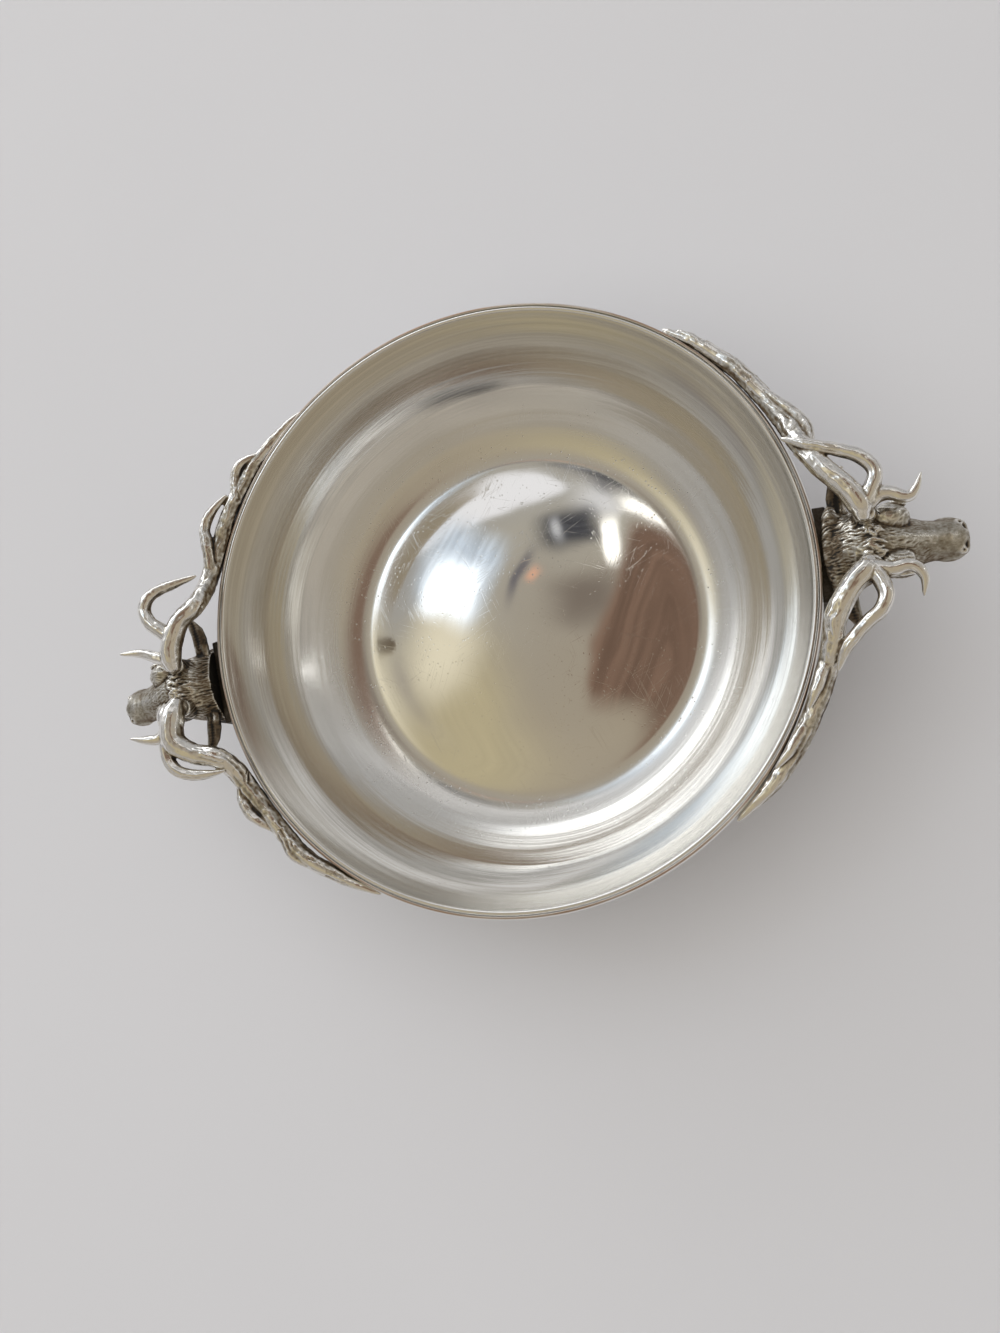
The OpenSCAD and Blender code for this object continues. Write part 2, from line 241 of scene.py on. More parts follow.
@dataclass(frozen=True)
class PolishedSilver(Finish):
    """Turned and polished sheet: rings on the wall, scratches and pits on the floor, a brown seam at the lip.

    Places are in millimetres. Reliefs are heights as shares of relief_mm.

    Attributes:
        rings: Closeness across and along the turning lines, and detail, of fine, middling and broad ones.
        marks: Direction in degrees, closeness and width of each family of scratches.
    """

    slot: str = "polished_silver"
    bright: Colour = (0.91, 0.905, 0.885)
    dull: Colour = (0.72, 0.705, 0.67)
    seam: Colour = (0.5, 0.36, 0.27)
    floor_r: float = 38.0
    seam_r: float = 57.85
    rim_z: float = 32.4
    floor_rough: float = 0.045
    wall_rough: float = 0.095
    cove_rough: float = 0.12
    upper_rough: float = 0.03
    ring_relief: float = 5.0
    floor_relief: float = 0.12
    scratch_relief: float = 0.5
    pit_relief: float = 6.0
    relief_mm: float = 0.012
    rings: tuple[Point, ...] = ((7.0, 1.5, 3.0), (1.4, 1.0, 2.0), (0.8, 0.8, 2.0))
    marks: tuple[Point, ...] = (
        (18.0, 0.55, 0.006), (64.0, 0.4, 0.005), (112.0, 0.5, 0.005), (151.0, 0.7, 0.004))

    def scratches(self, graph: Graph, x: Value, y: Value) -> Value:
        """Thin straight marks in a few directions.

        Args:
            graph: The graph.
            x: Place across, in millimetres.
            y: Place along, in millimetres.

        Returns:
            1 on a mark and 0 off it.
        """
        total: Value | None = None
        for turn_deg, close, thin in self.marks:
            turn = math.radians(turn_deg)
            across = x * math.cos(turn) + y * math.sin(turn)
            along = y * math.cos(turn) - x * math.sin(turn)
            cloud = graph.noise(graph.joined(across * close, along * 0.035, turn_deg), 1.0, 1.0, 0.3)
            mark = abs(cloud - 0.5).step(0.0, thin, FALL)
            patchy = graph.noise(graph.joined(across * 0.1, along * 0.1, turn_deg + 5.0), 1.0).step(0.5, 0.62)
            total = mark * patchy if total is None else total + mark * patchy
        return total

    def shade(self, graph: Graph, shader: bpy.types.Node) -> None:
        """Fills in the shader's inputs.

        Args:
            graph: The material's graph.
            shader: Its Principled shader.
        """
        place = graph.millimetres()
        x, y, z = graph.split(place)
        radius = ((x * x + y * y) ** 0.5).at_least(0.01)
        ahead, aside = x / radius, y / radius
        climb = radius + z
        fine, middling, broad = (
            graph.noise(graph.joined(climb * across, ahead * along, aside * along), 1.0, detail)
            for across, along, detail in self.rings)
        wall = radius.step(self.floor_r - 0.5, self.floor_r + 3.0)
        cove = radius.step(self.floor_r - 8.0, self.floor_r + 1.0)
        cove = cove * radius.step(self.floor_r + 6.0, self.floor_r + 13.0, FALL)
        upper = radius.step(self.floor_r + 12.5, self.floor_r + 16.0)
        below_rim = z - self.rim_z
        seam = below_rim.step(-2.6, -0.9) * abs(radius - self.seam_r).step(0.1, 0.28, FALL)
        lip = below_rim.step(-0.9, -0.4) * radius.step(self.seam_r - 1.4, self.seam_r - 1.1)

        scratch = self.scratches(graph, x, y) * (1.0 - 0.8 * wall)
        cells = graph.node("ShaderNodeTexVoronoi", {}, {"Vector": place, "Scale": 0.9}, "Distance")
        near_edge = abs(radius - self.floor_r).step(0.5, 4.5, (1.0, 0.3))
        pit = cells.step(0.1, 0.2, FALL) * near_edge * graph.noise(place, 0.12, 1.0).step(0.45, 0.55)
        stain = graph.noise(place, 0.06, 3.0)
        worn = graph.noise(place, 0.05, 3.0).step(0.35, 0.6)

        film = (wall * (0.15 + 0.4 * stain) + upper * (1.6 * middling - 0.35)) * (1.0 - lip)
        film = film + scratch * 0.2 + pit * (0.9 - 0.6 * wall)
        silver = graph.blend(film, self.bright, self.dull)
        rough = self.floor_rough + stain * 0.03 + wall * (broad * 0.07 + self.wall_rough - 0.05)
        rough = rough + cove * self.cove_rough + upper * self.upper_rough
        height = (fine + middling * self.ring_relief) * wall + fine * self.floor_relief
        height = height - scratch * self.scratch_relief - pit * self.pit_relief
        graph.feed(shader, {
            "Base Color": graph.blend(seam * (0.4 + 0.6 * worn), silver, self.seam),
            "Roughness": rough + scratch * 0.12 + pit * 0.15 + seam * 0.2,
            "Metallic": 1.0,
            "Normal": graph.bump(height, self.relief_mm, 0.35),
        })


@dataclass(frozen=True)
class Casting(Finish):
    """Cast silver, bright where it is rubbed, brown to black with patina in its hollows, and grey on its
    flanks with painted shade.
    """

    grey: Colour = (0.46, 0.43, 0.37)
    brown: Colour = (0.24, 0.18, 0.12)
    black: Colour = (0.03, 0.027, 0.023)
    rough: float = 0.15
    grain_mm: float = 0.012
    depths: Station = (0.3, 0.52, 0.7, 0.92)

    def shade(self, graph: Graph, shader: bpy.types.Node) -> None:
        """Fills in the shader's inputs.

        Args:
            graph: The material's graph.
            shader: Its Principled shader.
        """
        place = graph.millimetres()
        hollow_and_shade = graph.node("ShaderNodeAttribute", {"attribute_name": TARNISH_AND_SHADE}, {}, "Fac")
        cloud = graph.noise(place, 0.35, 3.0)
        speck = graph.noise(place, 2.2, 2.0)
        # The attribute is patina in the hollows plus painted shade on flanks and undersides; the noises add
        # random tarnish.
        dirt_and_shade = hollow_and_shade + (cloud - 0.5) * 0.4 + (speck - 0.5) * 0.25
        colours = (self.bright, self.grey, self.brown, self.black)
        grain = graph.noise(place, 6.0, 3.0)
        graph.feed(shader, {
            "Base Color": graph.ramp(dirt_and_shade, tuple(zip(self.depths, colours))),
            "Roughness": dirt_and_shade.step(0.2, 0.9, (self.rough, self.rough + 0.4)) + (speck - 0.5) * 0.1,
            "Metallic": dirt_and_shade.step(0.6, 1.0, (1.0, 0.6)),
            "Normal": graph.bump(grain, self.grain_mm, 0.4),
        })


@dataclass(frozen=True)
class PaperFloor(Finish):
    """The pale sheet that the bowl stands on."""

    slot: str = "floor"
    bright: Colour = (0.69, 0.695, 0.73)
    shaded: Colour = (0.65, 0.655, 0.69)

    def shade(self, graph: Graph, shader: bpy.types.Node) -> None:
        """Fills in the shader's inputs.

        Args:
            graph: The material's graph.
            shader: Its Principled shader.
        """
        place = graph.millimetres()
        cloud = graph.noise(place, 0.008, 3.0)
        fibre = graph.noise(place, 1.4, 4.0)
        graph.feed(shader, {
            "Base Color": graph.blend(cloud, self.bright, self.shaded),
            "Roughness": 0.85,
            "Normal": graph.bump(fibre, 0.05, 0.1),
        })


class Slot(Enum):
    """The finishes of the metal, by the record's slots."""

    POLISHED = PolishedSilver()
    CAST = Casting("cast_silver", (0.9, 0.88, 0.84))
    CHASED = Casting(
        "chased_silver", (0.84, 0.82, 0.77), (0.4, 0.37, 0.31), (0.2, 0.15, 0.1), rough=0.2, grain_mm=0.02)
    # Dark oxide made darker still as painted shade, for the saddle in the recess between the neck and the
    # bowl.
    OXIDE_AND_SHADE = Casting(
        "oxidised_silver", (0.2, 0.18, 0.16), (0.1, 0.085, 0.07), (0.05, 0.04, 0.03), rough=0.4)


def linked(name: str, data: bpy.types.ID) -> bpy.types.Object:
    """Makes an object of its data and links it to the scene."""
    made = bpy.data.objects.new(name, data)
    bpy.context.scene.collection.objects.link(made)
    return made


def meshed(bm: bmesh.types.BMesh, name: str) -> bpy.types.Mesh:
    """Turns an edited mesh into a stored one."""
    mesh = bpy.data.meshes.new(name)
    bm.to_mesh(mesh)
    bm.free()
    return mesh


class Rack:
    """Holds the finished materials and turns meshes into dressed pieces."""

    def __init__(self) -> None:
        """Makes every material once."""
        self.materials = {slot: slot.value.material() for slot in Slot}

    def piece(self, name: str, mesh: bpy.types.Mesh, slot: Slot, node: str) -> bpy.types.Object:
        """Makes an object of a mesh in millimetres, dresses it and puts it in the frame.

        Args:
            name: The piece's name.
            mesh: Its mesh, in millimetres.
            slot: Its finish.
            node: The CAD node that it stands for.

        Returns:
            The piece.
        """
        mesh.transform(Matrix.Scale(MM, 4))
        mesh.materials.clear()
        mesh.materials.append(self.materials[slot])
        mesh.polygons.foreach_set("use_smooth", [True] * len(mesh.polygons))
        made = linked(name, mesh)
        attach(made, "root")
        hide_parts(node)
        LOG.info("%s: %d faces", name, len(mesh.polygons))
        return made


def spun(name: str, section: Sequence[tuple[float, float]], steps: int) -> bpy.types.Mesh:
    """Spins a closed or axis-to-axis section round the upright axis.

    The rings are made one by one, so that points and faces come in the same order each run.

    Args:
        name: The mesh's name.
        section: Points of the section, as radius and height.
        steps: Steps of a full turn.

    Returns:
        The mesh, with its faces outwards.
    """
    bm = bmesh.new()
    turns = [(math.cos(turn), math.sin(turn)) for turn in (math.tau * i / steps for i in range(steps))]
    rings: list[list[bmesh.types.BMVert]] = []
    for radius, height in section:
        around = turns if radius > 0 else turns[:1]
        made = [bm.verts.new((radius * c, radius * s, height)) for c, s in around]
        rings.append(made if radius > 0 else made * steps)
    if section[0][0] > 0:
        rings.append(rings[0])
    for low, high in zip(rings, rings[1:]):
        for i in range(steps):
            bm.faces.new(tuple(dict.fromkeys((low[i - 1], low[i], high[i], high[i - 1]))))
    bmesh.ops.recalc_face_normals(bm, faces=bm.faces)
    return meshed(bm, name)


def lerp(first: float, second: float, share: float) -> float:
    """The value at a share of the way between two."""
    return first + (second - first) * share


def unit_step(values: np.ndarray, low: float, high: float) -> np.ndarray:
    """A soft step from 0 to 1 on an array."""
    share = np.clip((values - low) / (high - low), 0.0, 1.0)
    return share * share * (3 - 2 * share)


def noise_at(points: np.ndarray, scale: float | Point, seed: float = 0.0) -> np.ndarray:
    """Smooth noise, about -1 to 1, at many points. The scale is in waves to a unit, and the seed moves it."""
    scaled = points * np.asarray(scale) + seed
    return np.array([noise.noise(Vector(row)) for row in scaled])


class Skin:
    """A mesh whose points are moved as arrays."""

    def __init__(self, mesh: bpy.types.Mesh) -> None:
        """Reads the mesh's points and edges."""
        self.mesh = mesh
        self.count = len(mesh.vertices)
        self.points = np.empty(self.count * 3)
        mesh.vertices.foreach_get("co", self.points)
        self.points = self.points.reshape(-1, 3)
        ends = np.empty(len(mesh.edges) * 2, dtype=np.int64)
        mesh.edges.foreach_get("vertices", ends)
        self.ends = ends.reshape(-1, 2)
        self.degree = np.maximum(np.bincount(self.ends.ravel(), minlength=self.count), 1)[:, None]

    def normals(self) -> np.ndarray:
        """The outward direction at each point."""
        self.store()
        found = np.empty(self.count * 3)
        self.mesh.vertex_normals.foreach_get("vector", found)
        return found.reshape(-1, 3)

    def store(self) -> None:
        """Writes the points back to the mesh."""
        self.mesh.vertices.foreach_set("co", self.points.ravel())
        self.mesh.update()

    def averaged(self, values: np.ndarray, rounds: int) -> np.ndarray:
        """Evens out values over neighbouring points.

        Args:
            values: One row for each point.
            rounds: How often it is done.

        Returns:
            The even values.
        """
        first, second = self.ends.T
        for _ in range(rounds):
            total = np.zeros_like(values)
            for axis in range(values.shape[1]):
                column = values[:, axis]
                total[:, axis] = np.bincount(first, column[second], self.count)
                total[:, axis] += np.bincount(second, column[first], self.count)
            values = 0.4 * values + 0.6 * total / self.degree
        return values

    def lift(self, heights: np.ndarray) -> None:
        """Moves each point outwards by its height."""
        self.points = self.points + self.normals() * heights[:, None]
        self.store()

    def hollows(self, rounds: int, depth: float) -> np.ndarray:
        """How deep each point lies in a hollow: -1 on a rise, 1 where it is sunk by the depth."""
        sunk = ((self.averaged(self.points, rounds) - self.points) * self.normals()).sum(axis=1)
        return np.clip(sunk / depth, -1.0, 1.0)

    def mark(self, values: np.ndarray) -> None:
        """Keeps the tarnish and painted shade of each point with the mesh."""
        layer = self.mesh.attributes.new(TARNISH_AND_SHADE, "FLOAT", "POINT")
        layer.data.foreach_set("value", np.clip(values, 0.0, 1.0))


class Clay:
    """Overlapping closed shapes, in millimetres, that are fused into one skin."""

    def __init__(self) -> None:
        """Starts with nothing."""
        self.bm = bmesh.new()

    def ball(self, centre: Point, radii: Point, pitch_deg: float = 0.0, yaw_deg: float = 0.0) -> None:
        """Adds an egg.

        Args:
            centre: Its middle.
            radii: Its three radii.
            pitch_deg: How far its front is turned down.
            yaw_deg: How far it is turned to the left.
        """
        pitch, yaw = math.radians(pitch_deg), math.radians(yaw_deg)
        turn = Matrix.Rotation(yaw, 4, "Z") @ Matrix.Rotation(pitch, 4, "Y")
        place = Matrix.Translation(centre) @ turn @ Matrix.Diagonal((*radii, 1.0))
        bmesh.ops.create_uvsphere(self.bm, u_segments=28, v_segments=16, radius=1.0, matrix=place)

    def rings(self, frames: Sequence[Matrix], sides: int) -> None:
        """Adds a closed tube through rings.

        Args:
            frames: The place, turn and size of each ring, which is a circle in its own XY plane.
            sides: Sides of a ring.
        """
        made = bmesh.ops.create_circle(self.bm, cap_ends=True, segments=sides, radius=1.0, matrix=frames[0])
        cap = made["verts"][0].link_faces[0]
        for before, after in zip(frames, frames[1:]):
            grown = bmesh.ops.extrude_face_region(self.bm, geom=[cap])["geom"]
            cap = next(part for part in grown if isinstance(part, bmesh.types.BMFace))
            bmesh.ops.transform(self.bm, matrix=after @ before.inverted(), verts=cap.verts)

    def limb(self, stations: Sequence[tuple[Vector, float]], sides: int = 14, flat: float = 1.0) -> None:
        """Adds a tapering limb with rounded ends.

        Args:
            stations: Points that it passes through, each with its radius there.
            sides: Sides of its section.
            flat: Its height as a share of its width.
        """
        frames: list[Matrix] = []
        last = len(stations) - 1
        for i, (point, radius) in enumerate(stations):
            along = (stations[min(i + 1, last)][0] - stations[max(i - 1, 0)][0]).normalized()
            aside = UP.cross(along).normalized()
            above = along.cross(aside)
            turn = Matrix((aside, above, along)).transposed().to_4x4()
            size = Matrix.Diagonal((radius, radius * flat, radius, 1.0))
            ring = Matrix.Translation(point) @ turn @ size
            if i == 0:
                frames += [ring @ self.cap_ring(k) for k in ROOT_CAP]
            frames.append(ring)
            if i == last:
                frames += [ring @ self.cap_ring(k) for k in TIP_CAP]
        self.rings(frames, sides)

    @staticmethod
    def cap_ring(reach: float) -> Matrix:
        """A ring of a rounded end, at a share of the radius beyond it."""
        width = math.sqrt(max(1 - reach * reach, 0.02))
        return Matrix.Translation((0, 0, reach)) @ Matrix.Diagonal((width, width, 1.0, 1.0))

    def fused(self, name: str, voxel: float, rounds: int) -> Skin:
        """Fuses the shapes into one closed skin.

        Args:
            name: The mesh's name.
            voxel: Size of the fusing grid.
            rounds: How often the skin is smoothed.

        Returns:
            The skin.
        """
        bmesh.ops.recalc_face_normals(self.bm, faces=self.bm.faces)
        lump = meshed(self.bm, name + "_lump")
        holder = linked(name + "_lump", lump)
        remesh = holder.modifiers.new("fuse", "REMESH")
        remesh.mode, remesh.voxel_size = "VOXEL", voxel
        smooth = holder.modifiers.new("smooth", "SMOOTH")
        smooth.factor, smooth.iterations = 0.5, rounds
        graph = bpy.context.evaluated_depsgraph_get()
        mesh = bpy.data.meshes.new_from_object(holder.evaluated_get(graph))
        mesh.name = name
        bpy.data.objects.remove(holder)
        bpy.data.meshes.remove(lump)
        return Skin(mesh)


# Rings left on the wall by turning: closeness up the wall and round it, seed and height.
TURNED_RINGS: tuple[Station, ...] = ((0.3, 0.7, 21.0, 0.05), (0.75, 1.2, 33.0, 0.012))


@dataclass
class Bowl:
    """The raised bowl, the wire round its lip and its foot. Sizes in millimetres."""

    lip_r: float = 57.5
    depth: float = 26.5
    floor_r: float = 38.0
    floor_rise: float = 5.0
    eased_r: float = 30.0
    edge_slope: float = 0.1
    wall: float = 0.9
    low_slope: float = 25.0
    lip_slope: float = 85.0
    wire_t: float = 0.8
    wire_h: float = 2.2
    foot_h: float = 5.0
    foot_neck_r: float = 29.0
    foot_base_r: float = 33.0
    foot_wall: float = 1.4
    foot_edge_h: float = 1.2
    foot_land: float = 2.4
    solder_gap: float = 0.1
    lip_round: float = 0.45
    crease: float = 3.0
    cove_deg: float = 9.0
    steps: int = 288

    @property
    def rim_z(self) -> float:
        """Height of the lip."""
        return self.foot_h + self.wall + self.depth

    def floor_z(self, radius: float) -> float:
        """Height of the domed floor, whose edge is eased where it was hammered down to the crease."""
        bend = 2 * self.floor_rise / self.floor_r**2
        steep = bend * self.eased_r
        wide = self.floor_r - self.eased_r
        left = self.floor_r - max(radius, self.eased_r)
        edge = self.edge_slope * left + (steep - self.edge_slope) * left**2 / (2 * wide)
        return self.rim_z - self.depth + edge + bend / 2 * max(self.eased_r**2 - radius**2, 0.0)

    def wall_point(self, slope_deg: float, out: float) -> tuple[float, float]:
        """A point on the wall.

        Args:
            slope_deg: The wall's slope there.
            out: How far outside the inner face it lies.

        Returns:
            Its radius and height.
        """
        low, lip, slope = (math.radians(a) for a in (self.low_slope, self.lip_slope, slope_deg))
        inner_lip = self.lip_r - self.wall / math.sin(lip)
        wide = (inner_lip - self.floor_r) / (math.sin(lip) - math.sin(low))
        tall = self.depth / (math.cos(low) - math.cos(lip))
        away = Vector((tall * math.sin(slope), -wide * math.cos(slope))).normalized() * out
        radius = self.floor_r + wide * (math.sin(slope) - math.sin(low)) + away.x
        return radius, self.rim_z - self.depth + tall * (math.cos(low) - math.cos(slope)) + away.y

    def crease_points(self, out: float) -> list[tuple[float, float]]:
        """The small curve where the floor meets the wall.

        Args:
            out: How far below the inner face it lies.

        Returns:
            Points from the floor to the wall.
        """
        start = Vector((self.floor_r - self.crease, self.floor_z(self.floor_r - self.crease) - out))
        corner = Vector((self.floor_r, self.floor_z(self.floor_r) - out))
        end = Vector(self.wall_point(self.low_slope + self.cove_deg, out))
        steps = np.linspace(0.0, 1.0, 13)
        return [tuple(start.lerp(corner, t).lerp(corner.lerp(end, t), t)) for t in steps]

    def section(self) -> list[tuple[float, float]]:
        """The bowl's section, from the middle of the floor over the lip to the middle of the underside."""
        dome = np.linspace(0.0, self.floor_r - self.crease, 34)[:-1]
        slopes = np.linspace(self.low_slope + self.cove_deg, self.lip_slope, 90)[1:]
        inside = [(r, self.floor_z(r)) for r in dome] + self.crease_points(0.0)
        inside += [self.wall_point(a, 0.0) for a in slopes[:-2]]
        lip_in, top = self.wall_point(self.lip_slope, 0.0)[0], self.rim_z
        middle, half = (lip_in + self.lip_r) / 2, (self.lip_r - lip_in) / 2
        lip = [(middle - half * math.cos(a), top - self.lip_round * (1 - math.sin(a)))
               for a in np.linspace(0, math.pi, 15)]
        outside = [self.wall_point(a, self.wall) for a in slopes[-3::-2]]
        under = self.crease_points(self.wall)[::-1] + [(r, self.floor_z(r) - self.wall) for r in dome[::-2]]
        under[-1] = (0.0, under[-1][1])
        return inside + lip + outside + under

    def planish(self, mesh: bpy.types.Mesh) -> None:
        """Gives the sheet the slight waves of hand work.

        Args:
            mesh: The bowl's mesh.
        """
        skin = Skin(mesh)
        radius = np.hypot(skin.points[:, 0], skin.points[:, 1])
        raised = unit_step(radius, self.floor_r - 2, self.floor_r + 6)
        steady = 1 - unit_step(skin.points[:, 2], self.rim_z - 4.0, self.rim_z - 1.0)
        small = noise_at(skin.points, 0.11, 3.0) * 0.03
        large = noise_at(skin.points, 0.04, 9.0) * (0.05 + 0.1 * raised)
        climb = radius + skin.points[:, 2]
        round_about = skin.points[:, :2] / np.maximum(radius, 1.0)[:, None]
        rings = sum(noise_at(np.column_stack((climb * up, round_about * around)), 1.0, seed) * height
                    for up, around, seed, height in TURNED_RINGS)
        skin.lift((small + large + rings * raised) * steady)

    def wire_section(self) -> list[tuple[float, float]]:
        """Section of the half-round wire."""
        lean = self.wire_h / math.tan(math.radians(self.lip_slope))
        inner, outer, flat = self.lip_r + self.solder_gap, self.lip_r + self.wire_t, 0.3
        half, top = self.wire_h / 2, self.rim_z
        curve = [(lerp(inner, outer, lerp(flat, 1.0, math.cos(a))), top - half * (1 - math.sin(a)))
                 for a in (math.radians(turn) for turn in range(-90, 91, 10))]
        return [(inner - lean, top - self.wire_h)] + curve + [(inner + 0.03, top), (inner, top - 0.06)]

    def under_z(self, radius: float) -> float:
        """Height of the foot's top, a solder gap under the bowl."""
        return self.floor_z(radius) - self.wall - self.solder_gap

    def foot_section(self) -> list[tuple[float, float]]:
        """Section of the collet foot."""
        base, neck, soft = self.foot_base_r, self.foot_neck_r, 0.25
        flare = [(lerp(base, neck, math.sin(a)), lerp(self.foot_edge_h, self.under_z(neck), 1 - math.cos(a)))
                 for a in np.linspace(0.0, math.pi / 2, 18)]
        edge = [(base - self.foot_land, 0.0), (base - soft, 0.0), (base - 0.07, 0.07), (base, soft)]
        edge += [(base, self.foot_edge_h - soft), (base - 0.05, self.foot_edge_h - 0.05)]
        seat = neck - self.foot_wall
        top = [(r, self.under_z(r)) for r in (lerp(seat, neck, 0.5), seat)]
        inner = [(r - self.foot_wall, z) for r, z in flare[-2:3:-1]]
        return edge + flare[1:] + top + inner

    def build(self, rack: Rack) -> list[bpy.types.Object]:
        """Makes the bowl, the wire and the foot.

        Args:
            rack: Where the finishes are.

        Returns:
            The three pieces.
        """
        sheet = spun("bowl_skin", self.section(), self.steps)
        self.planish(sheet)
        wire = spun("rim_wire_skin", self.wire_section(), self.steps)
        foot = spun("foot_ring_skin", self.foot_section(), self.steps)
        return [
            rack.piece("bowl_shell", sheet, Slot.POLISHED, "bowl"),
            rack.piece("rim_band", wire, Slot.POLISHED, "rim_wire"),
            rack.piece("foot_collet", foot, Slot.POLISHED, "foot_ring"),
        ]


# Sections of the skull and neck: distance from the neck's flat face, half the width, top and bottom.
SKULL: tuple[Station, ...] = (
    (0.0, 7.7, 0.5, -12.3), (1.6, 7.6, 1.6, -11.6), (3.4, 7.0, 2.7, -10.3), (5.4, 6.2, 3.3, -9.2),
    (7.4, 5.4, 3.2, -8.4), (9.4, 5.0, 2.6, -7.9), (11.4, 4.6, 1.6, -7.5), (13.2, 4.2, 0.5, -7.1),
    (15.2, 3.65, -0.6, -6.9), (17.2, 3.4, -1.4, -6.7), (19.2, 3.35, -1.9, -6.5), (20.8, 3.3, -2.2, -6.3),
    (21.7, 2.95, -2.6, -5.9), (22.3, 2.1, -3.3, -5.2),
)


@dataclass(frozen=True)
class Antler:
    """One antler: which way it lies and the limbs it is made of.

    A limb is a list of stations, each an angle round the rim from the head, a stand-off from the rim wire,
    a height and a thickness. The last three are percentages of the handle's reach, its crest and its beam.
    """

    name: str
    side: int
    limbs: tuple[tuple[Station, ...], ...]


RIGHT_BACK = Antler("right_back", 1, (
    ((3.6, 34, 84, 68), (5, 30, 88, 98), (8, 23, 92, 95), (12.5, 11, 84, 90), (17.5, 1, 55, 90),
     (22, 3, 30, 90), (25.5, 5, 15, 85), (30, 6, 8, 83), (36.5, 6, 8, 78), (40.5, 5, 0, 72), (45, 5, 0, 60),
     (51, 6, -8, 30)),
    ((4.5, 36, 82, 72), (5.8, 50, 84, 68), (5.6, 62, 91, 60), (4.7, 72, 93, 53), (4.6, 80, 94, 45),
     (5.6, 88, 97, 34), (6.6, 94, 100, 18)),
    ((4.6, 35, 86, 72), (6.8, 46, 98, 66), (9, 54, 100, 61), (11.6, 47, 100, 60), (14, 31, 94, 55),
     (16.6, 12, 92, 48), (19.2, -4, 84, 26)),
    ((16, 8, 55, 66), (20, 18, 42, 61), (24, 17, 33, 55), (28, 13, 25, 45), (31, 13, 25, 24)),
    ((33, 8, 10, 56), (37, 11, 17, 48), (41.5, 10, 14, 24)),
    ((43, 6, 0, 50), (46, 9, 6, 42), (48.5, 10, 6, 24)),
))
RIGHT_FRONT = Antler("right_front", -1, (
    ((3.6, 33, 84, 68), (4.8, 26, 87, 98), (7, 15, 88, 95), (11.5, 5, 75, 94), (16, 4, 58, 90),
     (20, 6, 33, 90), (24, 5, 25, 88), (29, 4, 17, 83), (34, 4, 8, 78), (38, 4, 0, 72), (41.5, 3, -5, 60),
     (47.5, 1, -13, 30)),
    ((4.3, 36, 82, 72), (4.9, 52, 88, 64), (4.5, 66, 92, 55), (4.9, 76, 92, 48), (6.2, 83, 89, 38),
     (8, 85, 83, 18)),
    ((4.5, 36, 86, 72), (8, 47, 100, 66), (10.6, 44, 100, 61), (12.6, 33, 92, 56), (16.4, 20, 84, 50),
     (19.2, 20, 75, 26)),
    ((19, 7, 48, 61), (23, 6, 66, 50), (26, 8, 68, 24)),
    ((30, 4, 28, 56), (34, 2, 36, 45), (37, 1, 34, 24)),
    ((37, 5, 5, 56), (40.5, 9, 4, 44), (43, 10, 2, 24)),
))
LEFT_BACK = Antler("left_back", -1, (
    ((3.6, 32, 84, 78), (4.8, 30, 88, 98), (7, 28, 90, 102), (11, 18, 92, 95), (14.5, 6, 67, 94),
     (18.5, 2, 25, 90), (22.5, 2, 8, 90), (27, 3, 0, 88), (31.5, 5, 8, 83), (36.5, 7, 8, 78),
     (40.5, 5, 0, 76), (44.5, 3, 0, 70), (50, 3, -8, 56), (54.5, 1, -13, 42), (58, 0, -17, 22)),
    ((4.4, 34, 82, 70), (5.5, 54, 84, 58), (6.6, 74, 82, 46), (6.8, 96, 92, 22)),
    ((7.8, 26, 88, 86), (9.6, 41, 94, 76), (11, 55, 99, 68), (13, 64, 100, 63), (15.2, 62, 98, 59),
     (16.8, 50, 92, 55), (18, 35, 86, 46), (19.4, 19, 80, 24)),
    ((21, 4, 14, 72), (26.5, 15, 33, 66), (29, 25, 33, 55), (32, 25, 33, 50), (35.5, 19, 33, 26)),
    ((37, 8, 8, 61), (41, 18, 17, 55), (44, 16, 17, 44), (46.5, 9, 8, 26)),
))
LEFT_FRONT = Antler("left_front", 1, (
    ((3.5, 36, 84, 84), (4.8, 37, 88, 106), (7, 42, 93, 112), (9.6, 43, 92, 112), (12.5, 30, 84, 100),
     (15, 11, 67, 100), (18.5, 5, 33, 94), (22, 3, 17, 90), (27, 4, 8, 83), (33, 8, 0, 83), (39, 9, 0, 78),
     (45, 7, -8, 66), (49, 2, -8, 50), (53.5, 0, -17, 26)),
    ((4.6, 40, 82, 70), (7.5, 64, 80, 56), (7.2, 82, 87, 45), (6.3, 99, 92, 22)),
    ((7.6, 46, 90, 82), (9.2, 58, 92, 70), (11.6, 61.5, 92, 63), (13.8, 58, 92, 59), (15.6, 46, 86, 55),
     (16.9, 32, 84, 44), (17.8, 20, 82, 24)),
    ((20.5, 5, 20, 66), (22.5, 17, 17, 61), (25.5, 21, 25, 55), (28, 19, 25, 50), (30.5, 18, 17, 26)),
    ((33, 9, 4, 61), (37, 16, 8, 55), (42, 14, 5, 26)),
))


# The collar at an antler's root: heights, with its width there as a share of half the beam.
COLLAR = ((0.0, 0.96), (0.4, 1.0), (0.9, 0.95), (1.8, 0.8))
# An antler's seat on the head, up to its flat: heights, radii and shares of its distance from the middle.
SEAT_RINGS = ((-1.5, 2.5, 0.75), (1.2, 2.0, 0.9), (2.6, 1.7, 1.0))
SEAT_R = 1.65
# An ear from its root to its tip: outwards, sideways, height and radius.
EAR: tuple[Station, ...] = (
    (1.9, 5.2, -1.6, 1.4), (1.7, 7.0, -1.3, 1.5), (1.6, 9.2, -1.0, 1.6), (1.9, 11.2, -0.7, 1.4),
    (2.6, 13.0, -0.4, 0.9), (3.2, 14.2, -0.15, 0.4))
# A lock of hair: shares of its length and of its bend, its lift and the share of its thickness.
LOCK: tuple[Station, ...] = (
    (0.0, 0.0, -0.3, 0.8), (0.35, 0.25, 0.1, 1.0), (0.7, 0.7, 0.15, 0.8), (1.0, 1.1, -0.1, 0.3))


